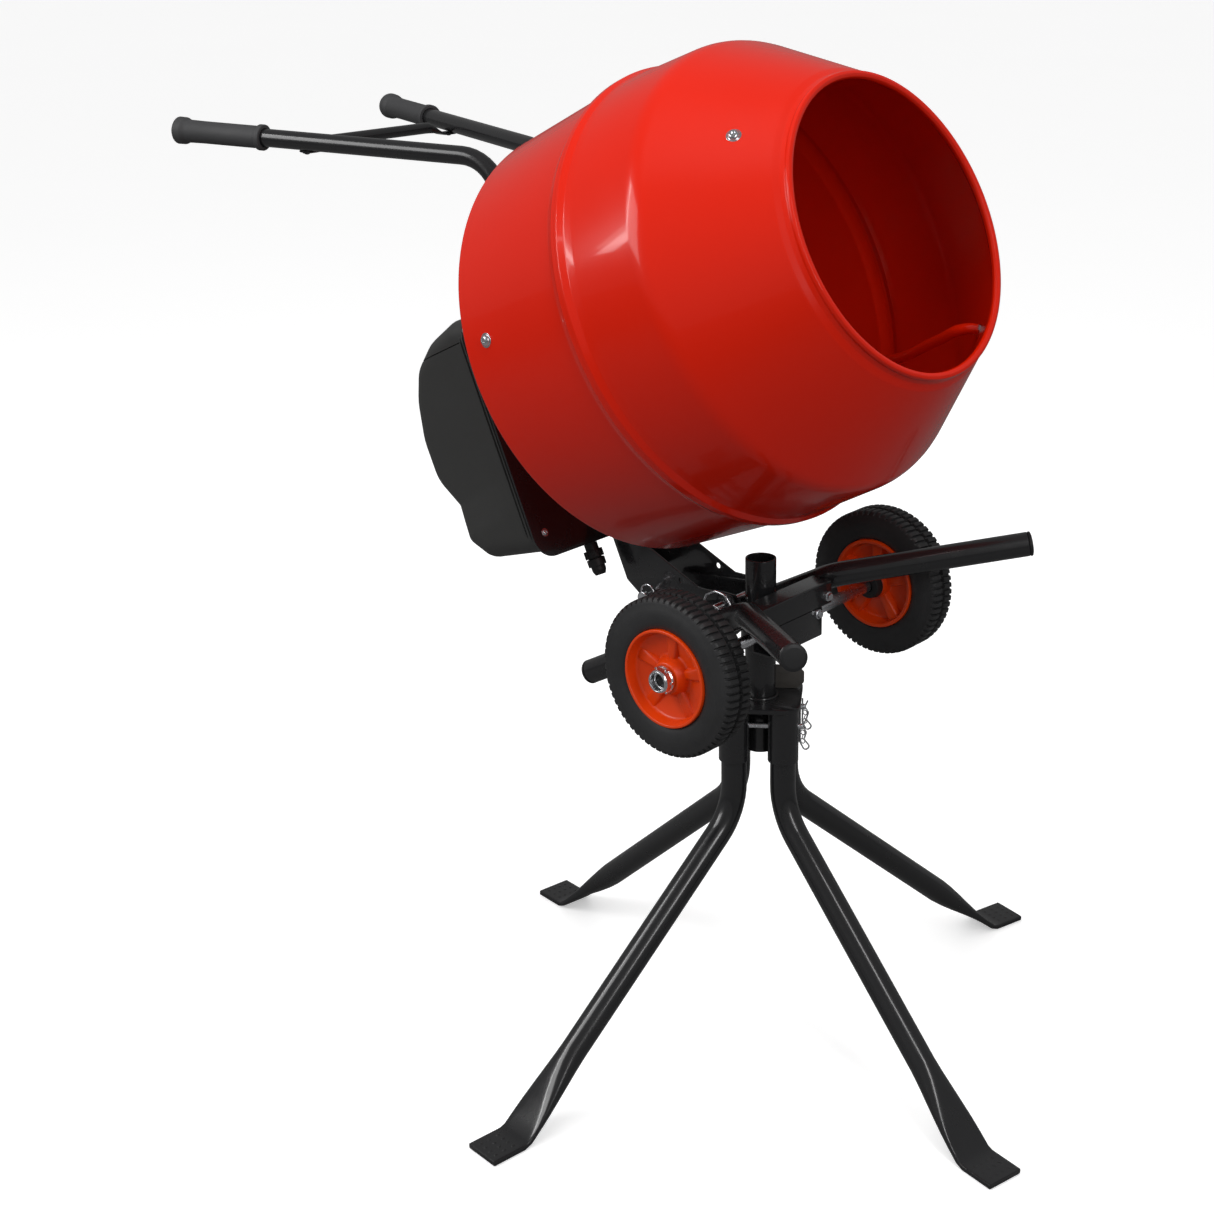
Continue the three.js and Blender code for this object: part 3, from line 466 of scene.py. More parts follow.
def make_stand():
    """The post with its plates, and the legs with the pins that hold them."""
    post = Shape(MIXER)
    post.add(turned([(17.5, 398, 0.5), (20, 398, 0.7), (20, 660, 0.9), (17.5, 660, 0.9)], 72))
    post.piece("post_tube", "stand", "black_paint", replaces=["stand_post"])

    head = Shape(MIXER)
    level = move(0, 0, 466) @ turn(HEAD_TURN + 45, "Z")
    head.add(plate(rectangle(54, 54), 6, [(0, 0, 20.4)], 22, 0.8), level)
    weld = sweep([polar(22, 12 * k) for k in range(30)], 2.2, closed=True, segments=12)
    head.add(weld, move(0, 0, 472.5))
    head.piece("head_plate", "stand", "black_paint", replaces=["stand_head_plate"])

    back = Shape(MIXER)
    chamfer = 9
    half, height = 56, 16
    right = [(half - chamfer, -height), (half, -height + chamfer),
             (half, height - chamfer), (half - chamfer, height)]
    left = [(-x, z) for x, z in reversed(right)]
    outline = [left[-1], *right, *left[:-1]]
    behind = polar(24.35, HEAD_TURN + 135, 488.35)
    upright = move(*behind) @ turn(HEAD_TURN + 45, "Z") @ UPRIGHT
    back.add(plate(outline, 4, corner=2.5), upright)
    # Its look is black lifted to grey, a painted reflection.
    back.piece("back_plate", "stand", "black_paint", "stand_plate", ["stand_back_plate"])

    stop = Shape(MIXER)
    profile = [(20.35, 540.7, 0.4), (24, 540.7, 0.8), (24, 548.6, 0.8), (20.35, 548.6, 0.4)]
    stop.add(turned(profile, 64))
    stop.piece("stop_ring", "stand", "black_paint", replaces=["swivel_stop_ring"])

    for name, angle in SOCKET_TURNS.items():
        socket = Shape(MIXER)
        ring = [(17.6, 394, 0.4), (20, 394, 0.8), (20, 465.6, 0.8), (17.6, 465.6, 0.4)]
        socket.add(turned(ring, 56), move(*polar(SOCKET_OFFSET, angle)))
        socket.piece(f"socket_{name}", "stand", "black_paint", replaces=[f"leg_socket_{name}"])

    for name, angle in LEG_TURNS.items():
        leg = Shape(MIXER)
        socket_at = move(*polar(SOCKET_OFFSET, SOCKET_TURNS[name]))
        local = socket_at @ turn(angle, "Z") @ move(-SOCKET_OFFSET, 0, 0)
        leg.add(skin(leg_rings()), local)
        for x in (432, 445, 458):
            for y in (-15, -5, 5, 15):
                bead = turned([(0, 1.0), (1.5, 0.8, 0.6), (2.6, 0), (0, -0.5)], 12)
                leg.add(bead, local @ move(x, y, 6.9))
        leg.piece(f"leg_tube_{name}", "stand", "black_paint", replaces=[f"leg_{name}"])

    lines = {"front": pin_line(SOCKET_TURNS["front_left"], SOCKET_TURNS["front_right"]),
             "back": pin_line(SOCKET_TURNS["back_left"], SOCKET_TURNS["back_right"])}
    for name, (a, b) in lines.items():
        pin = Shape(MIXER)
        along = (b - a).normalized()
        length = (b - a).length
        profile = [(0, -3), (6.5, -3, 1), (6.5, 0.5, 0.6), (4, 0.6),
                   (4, length - 1.5, 0.5), (3, length, 0.5), (0, length)]
        pin.add(turned(profile, 32), facing(a, along))
        r_clip(pin, b - along * 4, along.cross(Z))
        links = [b + Vector((1.5 * (k % 2), -1, -8 - 6 * k)) for k in range(3)]
        for k, at in enumerate(links):
            ring = [polar(3.2, 30 * j) for j in range(12)]
            hung = move(*at) @ turn(90 * (k % 2), "Z") @ turn(90, "X")
            pin.add(sweep(ring, 0.7, closed=True, segments=8), hung)
        pin.piece(f"leg_pin_{name}_clip", f"{name}_leg_pin", "zinc", replaces=[f"leg_pin_{name}"])


# ---------- trolley ----------
SIDE_PATH = [Vector((244, 251, 664)), Vector((48, 90.5, 622)), Vector((-198, 108, 487))]
TILT = Vector((-28.5, 0, 600))
LOCK = Vector((-148, 0, 588))
AXLE_X, AXLE_Z = 41, 580
TUBE_RADIUS = 16


def channel(outer_low, outer_high, wall, open_below):
    """A U outline in X and Z, open below or above."""
    (x0, z0), (x1, z1) = outer_low, outer_high
    if open_below:
        return [(x0, z0), (x0 + wall, z0), (x0 + wall, z1 - wall), (x1 - wall, z1 - wall),
                (x1 - wall, z0), (x1, z0), (x1, z1), (x0, z1)]
    return [(x0, z1), (x0, z0), (x1, z0), (x1, z1), (x1 - wall, z1), (x1 - wall, z0 + wall),
            (x0 + wall, z0 + wall), (x0 + wall, z1)]


def make_trolley():
    """The sleeve on the post, the axle, and the two side tubes."""
    sleeve = Shape(MIXER)
    sleeve.add(turned([(20.6, 549, 0.5), (25.4, 549, 1), (25.4, 592, 1), (20.6, 592, 0.5)], 64))
    sleeve.piece("sleeve", "trolley", "black_paint", replaces=["swivel_sleeve"])

    beam = Shape(MIXER)
    corners = [0, 0, 1, 1, 0, 0, 3, 3]
    outline = channel((27, 592), (59, 622), 3, True)
    beam.add(plate(outline, 146, corner=corners), move(0, 73, 0) @ UPRIGHT)
    beam.piece("beam", "trolley", "black_paint", replaces=["cross_beam"])

    saddle = Shape(MIXER)
    corners = [0, 3, 3, 0, 0, 1, 1, 0]
    outline = channel((27.5, 552), (60, 591.4), 3, False)
    saddle.add(plate(outline, 104, corner=corners), move(0, 52, 0) @ UPRIGHT)
    saddle.piece("saddle", "trolley", "black_paint", replaces=["axle_saddle"])

    bolts = Shape(MIXER)
    for y in (-44, 44):
        hex_bolt(bolts, (60.2, y, 584), X, 9, 4.5)
    for y in (-66, 66):
        hex_bolt(bolts, (59.2, y, 602), X, 9, 4.5, 20)
    bolts.piece("frame_bolts", "trolley", "zinc")

    axle = Shape(MIXER)
    profile = [(0, -239), (7, -239), (8, -237.5, 0.4), (8, 237.5, 0.4), (7, 239), (0, 239)]
    axle.add(turned(profile, 40), move(AXLE_X, 0, AXLE_Z) @ turn(-90, "X"))
    axle.piece("axle_rod", "trolley", "steel", "zinc", replaces=["axle"])

    for side, s in (("left", 1), ("right", -1)):
        mirror = Matrix.Diagonal((1, s, 1, 1))
        path = [mirror @ p for p in SIDE_PATH]
        tube = Shape(MIXER)
        tube.add(sweep(path, TUBE_RADIUS, bend=45, wall=2, segments=48, lip=1.0))
        tube.piece(f"side_pipe_{side}", "trolley", "black_paint", replaces=[f"side_tube_{side}"])
        for end, start, stop in (("arm", path[1], path[0]), ("foot", path[1], path[2])):
            cap = Shape(MIXER)
            profile = [(0, -14), (13.2, -14), (13.2, 0.4), (TUBE_RADIUS, 0.4, 0.4),
                       (16.2, 3.4, 1.6), (12, 4.8, 2), (0, 5)]
            cap.add(turned(profile, 48), facing(stop, stop - start))
            cap.piece(f"{end}_plug_{side}", "trolley", "cap_rubber", replaces=[f"{end}_cap_{side}"])
    make_tilt_bracket()


def make_tilt_bracket():
    """The channel that carries the tilt pin, and the pin with its linch clip."""
    bracket = Shape(MIXER)
    outline = [(-172, 558), (-18, 558), (-10, 566), (-10, 602),
               (-20, 612), (-42.5, 612), (-148, 600), (-172, 592)]
    holes = [(TILT.x, TILT.z, 6.5)]
    near_holes = holes + [(LOCK.x, LOCK.z, 5.6)]
    bracket.add(plate(outline, 3, holes, 4), move(0, 28.8, 0) @ UPRIGHT)
    bracket.add(plate(outline, 3, near_holes, 4), move(0, -25.8, 0) @ UPRIGHT)
    bracket.add(block((-172, -28.4, 558.1), (-28, 28.4, 561), 0.6))
    bracket.piece("tilt_channel", "trolley", "black_paint", replaces=["tilt_bracket"])

    pin = Shape(MIXER)
    profile = [(0, -60), (5, -60, 0.5), (6, -58.8, 0.4), (6, 46), (10, 46, 0.8), (10, 52, 1.2),
               (0, 52)]
    pin.add(turned(profile, 40), move(*TILT) @ turn(-90, "X"))
    ring = [(-24, 0, -1), (20, 0, -4), (22, 0, 8), (12, 0, 20), (-4, 0, 22), (-18, 0, 14)]
    path = fillet([Vector(p) for p in ring], [7] * len(ring), True)
    pin.add(sweep(path, 1.7, closed=True, segments=14), move(TILT.x, -53, TILT.z))
    pin.add(turned([(0, -14), (3.2, -14, 1), (3.2, 9, 0.5), (5, 9.4, 0.8), (5, 13, 1), (0, 13)], 24),
            move(TILT.x - 2, -53, TILT.z - 2) @ turn(90, "Y"))
    pin.piece("tilt_pin_clip", "trolley", "zinc", replaces=["tilt_pivot_pin"])


# ---------- wheels ----------
TREAD_BLOCKS = 66
SPOKES = 5
HUB_Y = 214


def tyre_mesh():
    """A solid tyre about Z with two rows of tread blocks and a groove between them."""
    # Half the section: radius, height, and how deep the gaps between blocks are cut.
    columns = [(62, -21, 0), (65, -22.6, 0), (70, -23.8, 0), (78, -24.2, 0), (86, -23.8, 0),
               (88, -23.0, 0), (92, -22.6, 0), (95.2, -21.8, 0.6), (97.6, -20.6, 2.4),
               (99.4, -18.8, 3.4), (100, -17.2, 3.6), (100, -4.2, 3.6), (99.4, -2.9, 3.2),
               (94.6, -2.2, 0)]
    columns += [(r, -h, d) for r, h, d in reversed(columns)]
    pitch = math.tau / TREAD_BLOCKS
    stations = [(0.0, 1), (0.56, 1), (0.64, 0), (0.92, 0)]
    rings = []
    for radius, height, depth in columns:
        slant = 0.25 * height / 20 + (0.5 if height > 0 else 0.0)
        ring = []
        for k in range(TREAD_BLOCKS):
            for share, raised in stations:
                angle = (k + share + slant) * pitch
                r = radius - depth * (1 - raised)
                ring.append(Vector((r * math.cos(angle), r * math.sin(angle), height)))
        rings.append(ring)
    return skin(rings, True)


def rim_parts(shape, local):
    """A moulded rim with raised spokes on both faces."""
    profile = [(8.4, -25, 0.5), (19, -25, 2), (20.5, -9, 3), (53, -7, 5), (56, -24, 1.5),
               (61, -25, 1.2), (61.4, -20, 1), (61.4, 20, 1), (61, 25, 1.2), (57.5, 25, 1.4),
               (54, 11, 5), (26, 5, 4), (19.5, 21, 2), (8.4, 21, 0.5)]
    shape.add(turned(profile, 96), local)
    for k in range(SPOKES):
        spoke = turn(360 / SPOKES * k + 16, "Z")
        shape.add(wedge((17, 8), (55, 13), 3, 11.5, 4.5, 2), local @ spoke)
        shape.add(wedge((17, 9), (56, 12), 4, 17, 4, 1.6), local @ turn(180, "X") @ spoke)


def make_wheels():
    """Both wheels, with their hub caps and the spacers behind them."""
    for side, s in (("left", 1), ("right", -1)):
        hub = move(AXLE_X, s * HUB_Y, AXLE_Z) @ turn(-90 * s, "X")
        tyre = Shape(MIXER)
        tyre.add(tyre_mesh(), hub)
        tyre.piece(f"tyre_tread_{side}", f"{side}_wheel", "tyre", replaces=[f"tyre_{side}"], sharp=30)
        rim = Shape(MIXER)
        rim_parts(rim, hub)
        rim.piece(f"wheel_rim_{side}", f"{side}_wheel", "rim_plastic", replaces=[f"rim_{side}"])
        cap = Shape(MIXER)
        profile = [(8.6, 22.6, 0.3), (17, 22.6, 0.5), (17, 25, 1), (15.6, 27, 1), (14.8, 33.5, 2),
                   (13, 36, 1), (11.4, 36, 0.8), (10, 28.6, 1), (8.6, 28.2, 0.3)]
        cap.add(turned(profile, 48), hub)
        for k in range(6):
            tooth = wedge((11, 1.2), (17.2, 2.2), 24, 29, 0.5, 0.4)
            cap.add(tooth, hub @ turn(60 * k, "Z"))
        cap.piece(f"hub_retainer_{side}", "trolley", "zinc", replaces=[f"hub_cap_{side}"])
        boss = Shape(MIXER)
        boss.add(turned([(0, 24.5), (8.3, 24.5), (8.3, 27, 0.8), (5, 28, 1), (0, 28)], 32), hub)
        profile = [(8.6, -36, 1), (17, -36, 2), (19, -27, 1), (19, -25.6, 0.3), (8.6, -25.6, 0.3)]
        boss.add(turned(profile, 48), hub)
        boss.piece(f"wheel_spacer_{side}", "trolley", "cap_rubber")


# ---------- drum ----------
def drum_point(x, radius, degrees):
    """A point of the tipping unit at an angle about the drum's axis, from straight up."""
    angle = math.radians(degrees)
    return Vector((x, -math.sin(angle) * radius, math.cos(angle) * radius))


def make_drum():
    """The bowl, the cone with its rolled lip, the bolts and the mixing bars."""
    about = turn(90, "Y")
    bowl = Shape(TIPPING)
    outside = [(13, 8), (112, 8, 30), (150, 1.5, 30), (283.6, 0.5, 5), (289.6, 179, 12),
               (292.6, 186, 5), (296, 191.5, 3), (296, 196.9)]
    inside = [(293.4, 196.9), (293.4, 192), (287, 182, 8), (281.2, 3, 4), (150, 4, 30),
              (112, 10.5, 30), (13, 10.5)]
    profile = outside + inside
    bowl.add(turned(profile, 176), about)
    bowl.piece("bowl_shell", "drum", "red_paint", replaces=["drum_bowl"], sharp=50)

    cone = Shape(TIPPING)
    outside = [(293.4, 197.1), (296, 197.1), (296, 201, 3), (291.5, 209, 6), (290.2, 220, 8),
               (283.8, 317, 46), (196, 446.5, 14), (189, 452.5, 5)]
    rolled_lip = [(186.6, 457.4, 1.5), (187.6, 460.8, 2), (186.4, 464, 2), (182.8, 465, 2),
                  (179, 463.6, 2), (177.6, 460, 2), (179.4, 455.6, 2)]
    inside = [(186.6, 450.6, 5), (193.6, 444.6, 12), (281.2, 316, 44), (287.4, 220, 8),
              (288.6, 210, 6), (293.4, 201, 3)]
    profile = outside + rolled_lip + inside
    cone.add(turned(profile, 176), about)
    cone.piece("cone_shell", "drum", "red_paint", replaces=["drum_cone"], sharp=50)

    flange = Shape(TIPPING)
    profile = [(12.4, 11, 0.5), (62, 11, 1), (62, 16, 1.5), (31, 18, 4), (17, 26, 2),
               (12.4, 26, 0.5)]
    flange.add(turned(profile, 64), about)
    flange.piece("hub_flange", "drum", "black_paint", "red_paint", ["drum_hub_flange"])

    bolts = Shape(TIPPING)
    for angle in (49, 229):
        normal = drum_point(0.565, 0.825, angle)
        dome_bolt(bolts, drum_point(408, 221.6, angle), normal, 7, 4.5, 9)
        hex_bolt(bolts, drum_point(406.4, 219, angle), -normal, 13, 8)
    for angle in (83, 263):
        normal = drum_point(-0.03, 1, angle)
        dome_bolt(bolts, drum_point(43, 285.2, angle), normal, 7, 4.5, 9)
        hex_bolt(bolts, drum_point(43, 282.6, angle), -normal, 13, 8)
    for k in range(6):
        hex_bolt(bolts, Vector((16, *(polar(48, 60 * k).xy))), X, 12, 6)
    bolts.piece("drum_bolts", "drum", "zinc")

    for name, angle in (("a", 229), ("b", 49)):
        bar = Shape(TIPPING)
        # Along the axis, from the axis, degrees past the bar's own turn.
        stations = [(43, 279, 34), (52, 264, 34), (76, 234, 32), (130, 230, 20), (240, 228, 4),
                    (340, 212, 0.5), (378, 205, 0), (396, 208, 0), (407, 216, 0)]
        path = smooth_path([drum_point(x, radius, angle + wind) for x, radius, wind in stations])
        bar.add(free_sweep(path, 7))
        bar.piece(f"mixing_rod_{name}", "drum", "red_paint", replaces=[f"mixing_bar_{name}"])


def smooth_path(points, steps=8):
    """A Catmull-Rom curve through points."""
    padded = [points[0] * 2 - points[1], *points, points[-1] * 2 - points[-2]]
    path = []
    for a, b, c, d in zip(padded, padded[1:], padded[2:], padded[3:]):
        for k in range(steps):
            t = k / steps
            path.append(0.5 * (2 * b + (c - a) * t + (2 * a - 5 * b + 4 * c - d) * t * t
                               + (3 * b - a - 3 * c + d) * t ** 3))
    path.append(points[-1])
    return path


def free_sweep(path, radius, segments=24):
    """A rod along a path that isn't flat."""
    normal = (path[1] - path[0]).orthogonal().normalized()
    rings = []
    for i, point in enumerate(path):
        tangent = (path[min(i + 1, len(path) - 1)] - path[max(i - 1, 0)]).normalized()
        normal = (normal - tangent * normal.dot(tangent)).normalized()
        rings.append(superellipse(point, normal, tangent.cross(normal), radius, radius, 2, segments))
    return skin(rings)


# ---------- tipping unit ----------
COVER_FRONT = -118.4
COVER_HALF = 168
# How much each side draws in, and over what distance back from the front.
COVER_DRAFT, COVER_DRAFT_RUN = 16, 175
# The crease, a sloping line of the side view: a point on it, and its slope.
CREASE_X, CREASE_Z, CREASE_SLOPE = -262, -136, 0.12
FLARE_RUN = 46


def dense(path, step=6):
    """A path with points added along its longer runs, about a step apart."""
    fine = [path[0]]
    for a, b in zip(path, path[1:]):
        parts = max(1, round((b - a).length / step))
        fine += [a.lerp(b, (k + 1) / parts) for k in range(parts)]
    return fine


def cover_half_width(x, z):
    """How far the motor cover's side stands from the middle, at a point of its side view.
    The side draws in towards the back, and flares out again below a crease."""
    draft = COVER_DRAFT * min(1.0, max(0.0, (-118 - x) / COVER_DRAFT_RUN))
    crease = CREASE_Z + CREASE_SLOPE * (x - CREASE_X)
    flare = min(1.0, max(0.0, (crease - z) / FLARE_RUN))
    return COVER_HALF - draft * (1 - 0.9 * flare)


def cover_outline():
    """The motor cover's side view, from its top front edge round the back."""
    corners = [(COVER_FRONT, 90), (-150, 93.5), (-208, 82), (-252, 58), (-277, 19), (-293, -35),
               (-292, -95), (-263, -138), (-252, -188), (-224, -216), (COVER_FRONT, -230)]
    radii = [0, 30, 60, 50, 70, 70, 50, 9, 26, 30, 0]
    return dense(fillet([(x, z, 0) for x, z in corners], radii))


def cover_skin():
    """The motor cover's outer face as a grid: along its side view, and across its width."""
    outline = cover_outline()
    count = len(outline)
    inward = []
    for i in range(count):
        along = (outline[min(i + 1, count - 1)] - outline[max(i - 1, 0)]).normalized()
        inward.append(Vector((-along.y, along.x, 0)))
    inward[0], inward[-1] = Vector((0, -1, 0)), Vector((0, 1, 0))
    edge = 24.0
    centre = Vector((COVER_FRONT, -66, 0))
    rows = []

    def row(inset, scale, side, back_off):
        points = []
        for p, n in zip(outline, inward):
            q = centre + (p + n * inset - centre) * scale
            points.append(Vector((q.x, side * (cover_half_width(q.x, q.y) - back_off), q.y)))
        rows.append(points)

    for side in (-1, 1):
        steps = [(edge, k / 20, 0.0) for k in range(21)]
        for k in range(1, 9):
            a = math.radians(90 - 90 * k / 8)
            steps.append((edge * (1 - math.cos(a)), 1.0, edge * (1 - math.sin(a))))
        for inset, scale, back_off in steps if side < 0 else reversed(steps):
            row(inset, scale, side, back_off)
        if side < 0:
            low = rows[-1]
            high = [Vector((p.x, -p.y, p.z)) for p in low]
            for k in range(1, 12):
                rows.append([a.lerp(b, k / 12) for a, b in zip(low, high)])
    bm = bmesh.new()
    grid = [[bm.verts.new(p) for p in points] for points in rows]
    for a, b in zip(grid, grid[1:]):
        for k in range(count - 1):
            bm.faces.new((a[k], a[k + 1], b[k + 1], b[k]))
    bmesh.ops.remove_doubles(bm, verts=bm.verts, dist=0.01)
    bmesh.ops.dissolve_degenerate(bm, dist=0.001, edges=bm.edges)
    return bm


def cut_shell(bm, height, keep_above, thickness=3.0):
    """Keeps one side of a level cut, and thickens it inwards."""
    bmesh.ops.bisect_plane(
        bm, geom=bm.verts[:] + bm.edges[:] + bm.faces[:], plane_co=(0, 0, height), plane_no=(0, 0, 1),
        clear_inner=keep_above, clear_outer=not keep_above,
    )
    bmesh.ops.recalc_face_normals(bm, faces=bm.faces)
    probe = max(bm.faces, key=lambda f: abs(f.calc_center_median().y))
    if probe.normal.y * probe.calc_center_median().y < 0:
        bmesh.ops.reverse_faces(bm, faces=bm.faces)
    outer = {v: v.co.copy() for v in bm.verts}
    bm.normal_update()
    normals = {v: v.normal.copy() for v in bm.verts}
    rim = [e for e in bm.edges if e.is_boundary]
    twin = {v: bm.verts.new(outer[v] - normals[v] * thickness) for v in list(outer)}
    for face in list(bm.faces):
        bm.faces.new([twin[v] for v in reversed(face.verts)])
    for e in rim:
        a, b = e.verts
        bm.faces.new((a, b, twin[b], twin[a]))
    return bm


def make_covers():
    """The two halves of the motor cover, and the lip round its open front."""
    lower = Shape(TIPPING)
    lower.add(cut_shell(cover_skin(), 61.4, False))
    lower.piece("cover_main", "tipping_unit", "cover_plastic", replaces=["motor_cover"], sharp=45)
    upper = Shape(TIPPING)
    upper.add(cut_shell(cover_skin(), 62.6, True))
    upper.piece("cover_lid", "tipping_unit", "cover_plastic", replaces=["motor_cover_top"], sharp=45)
    lip = Shape(TIPPING)
    front = move(-124, 0, -70) @ turn(90, "Y")
    hole = rounded_rectangle(155, 164, 30)
    lip.add(frame_ring(rounded_rectangle(162.5, 171.5, 36), hole, 3.4), front)
    behind = move(-131, 0, -70) @ turn(90, "Y")
    lip.add(frame_ring(rounded_rectangle(160.5, 169.5, 35), hole, 2.6), behind)
    lip.piece("cover_lip", "tipping_unit", "cover_plastic")


def rounded_rectangle(half_x, half_y, corner):
    """A filleted rectangle about the origin."""
    corners = [(x, y, 0) for x, y in rectangle(half_x, half_y)]
    return fillet(corners, [corner] * 4, True)


def frame_ring(outer, inner, thickness):
    """A flat ring between two outlines that have the same number of points."""
    rings = []
    eased = 0.7
    for loop, z, grow in ((outer, 0, 0.99), (outer, eased, 1), (outer, thickness - eased, 1),
                          (outer, thickness, 0.99), (inner, thickness, 1), (inner, 0, 1)):
        rings.append([Vector((p.x * grow, p.y * grow, z)) for p in loop])
    return skin(rings, True)


def make_drive():
    """The sheet that closes the cover's front, and the drum's bearing seat."""
    sheet = Shape(TIPPING)
    outline = rectangle(167, 172)
    level = move(-118, 0, -71) @ turn(90, "Y")
    sheet.add(plate(outline, 3, [(71, 0, 14)], 30, 0.6), level)
    sheet.piece("back_sheet", "tipping_unit", "black_paint", replaces=["drive_plate"])
    screws = Shape(TIPPING)
    for y in (-150, 150):
        for z in (70, -60, -205):
            dome_bolt(screws, (-115, y, z), X, 4, 2.6, 5.5)
    for angle in range(0, 360, 90):
        hex_bolt(screws, Vector((-106, *polar(31, angle + 45).xy)), X, 10, 5)
    screws.piece("sheet_screws", "tipping_unit", "zinc")
    seat = Shape(TIPPING)
    profile = [(12.4, -114.6, 0.5), (38, -114.6, 1), (38, -106, 2), (30, -100, 5), (26, -12, 2),
               (12.4, -12, 0.5)]
    seat.add(turned(profile, 64), turn(90, "Y"))
    seat.piece("bearing_seat", "tipping_unit", "black_paint", replaces=["bearing_housing"])


def make_carrier():
    """The webs that hang on the tilt pin, the lock pin and the cable gland."""
    pivot, lock = on_drum(TILT), on_drum(LOCK)
    outline = [(-114, -150), (-92, -150), (-62, -262), (4, -336), (pivot.x + 16, pivot.z + 8),
               (pivot.x + 17, pivot.z - 8), (pivot.x + 4, pivot.z - 17),
               (lock.x - 16, lock.z - 12), (-114, -300)]
    radii = [2, 3, 12, 8, 8, 8, 8, 8, 8]
    holes = [(pivot.x, pivot.z, 6.5), (-20, -322, 4)]
    carrier = Shape(TIPPING)
    carrier.add(plate(outline, 3, holes, radii), move(0, 39, 0) @ UPRIGHT)
    near_holes = holes + [(lock.x, lock.z, 5.6)]
    carrier.add(plate(outline, 3, near_holes, radii), move(0, -36, 0) @ UPRIGHT)
    carrier.add(block((-113.9, -38.4, -299), (-111, 38.4, -151), 0.8))
    carrier.piece("carrier_sheet", "tipping_unit", "black_paint", replaces=["drum_carrier"])

    pin = Shape(TIPPING)
    profile = [(0, 33.5), (4.2, 33.5, 0.5), (5, 35, 0.4), (5, 56), (8.5, 56, 0.8),
               (8.5, 63, 1.2), (0, 63.5)]
    pin.add(turned(profile, 32), move(lock.x, 0, lock.z) @ turn(90, "X"))
    ring = [polar(11, 20 * k) for k in range(18)]
    hung = move(lock.x + 10, -59.5, lock.z + 5) @ turn(90, "X")
    pin.add(sweep(ring, 1.2, closed=True, segments=10), hung)
    pin.piece("lock_pin_ring", "lock_pin", "zinc", replaces=["tilt_lock_pin"])

    gland = Shape(TIPPING)
    at = move(-130, -66, 0)
    profile = [(0, -282), (7, -282, 1), (9.5, -276, 2), (9.5, -270), (12.2, -270, 0.8),
               (12.2, -260, 0.8), (9, -259), (9, -238.4), (0, -238.4)]
    gland.add(turned(profile, 40), at)
    for k in range(12):
        gland.add(wedge((10.5, 1.4), (13, 1.4), -258.5, -248, 0.4, 0.3), at @ turn(30 * k, "Z"))
    nut = [(0, -258.5), (11.6, -258.5, 1), (11.6, -248, 1), (0, -248)]
    gland.add(turned(nut, 40), at)
    gland.piece("gland_nut", "tipping_unit", "cap_rubber", replaces=["cable_gland"])


HANDLE_RADIUS, HANDLE_BEND = 12.5, 62
# The brace: how far along the handles it sits, how far under them, and its middle's rise.
BRACE_ALONG, BRACE_UNDER, BRACE_RISE = 0.585, 14.4, 11
BRACE_RADIUS = 8
# Half width, half thickness and squareness of its flat ends and of its round middle.
BRACE_FLAT, BRACE_ROUND = (12, 1.8, 3.5), (BRACE_RADIUS, BRACE_RADIUS, 2.0)
BRACE_FLAT_RUN = 24


def make_handles():
    """The handle tubes, their grips and the brace between them."""
    knee = Vector((-88, 51, 285))
    foot = Vector((-102.15, 66, -60))
    end = on_drum((-884, 194, 1152))
    for side, s in (("left", 1), ("right", -1)):
        mirror = Matrix.Diagonal((1, s, 1, 1))
        path = [mirror @ p for p in (end, knee, foot)]
        tube = Shape(TIPPING)
        tube.add(sweep(path, HANDLE_RADIUS, bend=HANDLE_BEND, wall=1.8, segments=40, lip=0.7))
        tube.piece(f"handle_pipe_{side}", "tipping_unit", "black_paint", replaces=[f"handle_{side}"])
        grip = Shape(TIPPING)
        profile = [(12.9, -138, 0.5), (18, -138, 1.5), (18, -130.5, 1.5), (15.5, -129, 1),
                   (15.5, -40, 20), (16, -14, 6), (18.8, -8, 3), (19.1, 3, 2.5),
                   (15.6, 5.9, 3), (0, 6), (0, 0.4), (12.9, 0.4)]
        grip.add(turned_open(profile, 56), facing(path[0], path[0] - path[1]))
        grip.piece(f"hand_grip_{side}", "tipping_unit", "grip_rubber", replaces=[f"grip_{side}"])
    make_brace(knee, end)


def turned_open(profile, segments):
    """A turned cup: its profile starts and ends at the mouth of a blind bore."""
    corners = [(p[0], p[1], 0) for p in profile]
    radii = [p[2] if len(p) > 2 else 0 for p in profile]
    rings = []
    for p in fillet(corners, radii, True):
        ring = [polar(p.x, 360 * k / segments, p.y) for k in range(segments)]
        rings.append(ring if p.x > 1e-6 else [Vector((0, 0, p.y))])
    low = next(i for i, r in enumerate(rings) if len(r) == 1)
    ordered = rings[low + 1:] + rings[: low + 1]
    return skin(ordered)


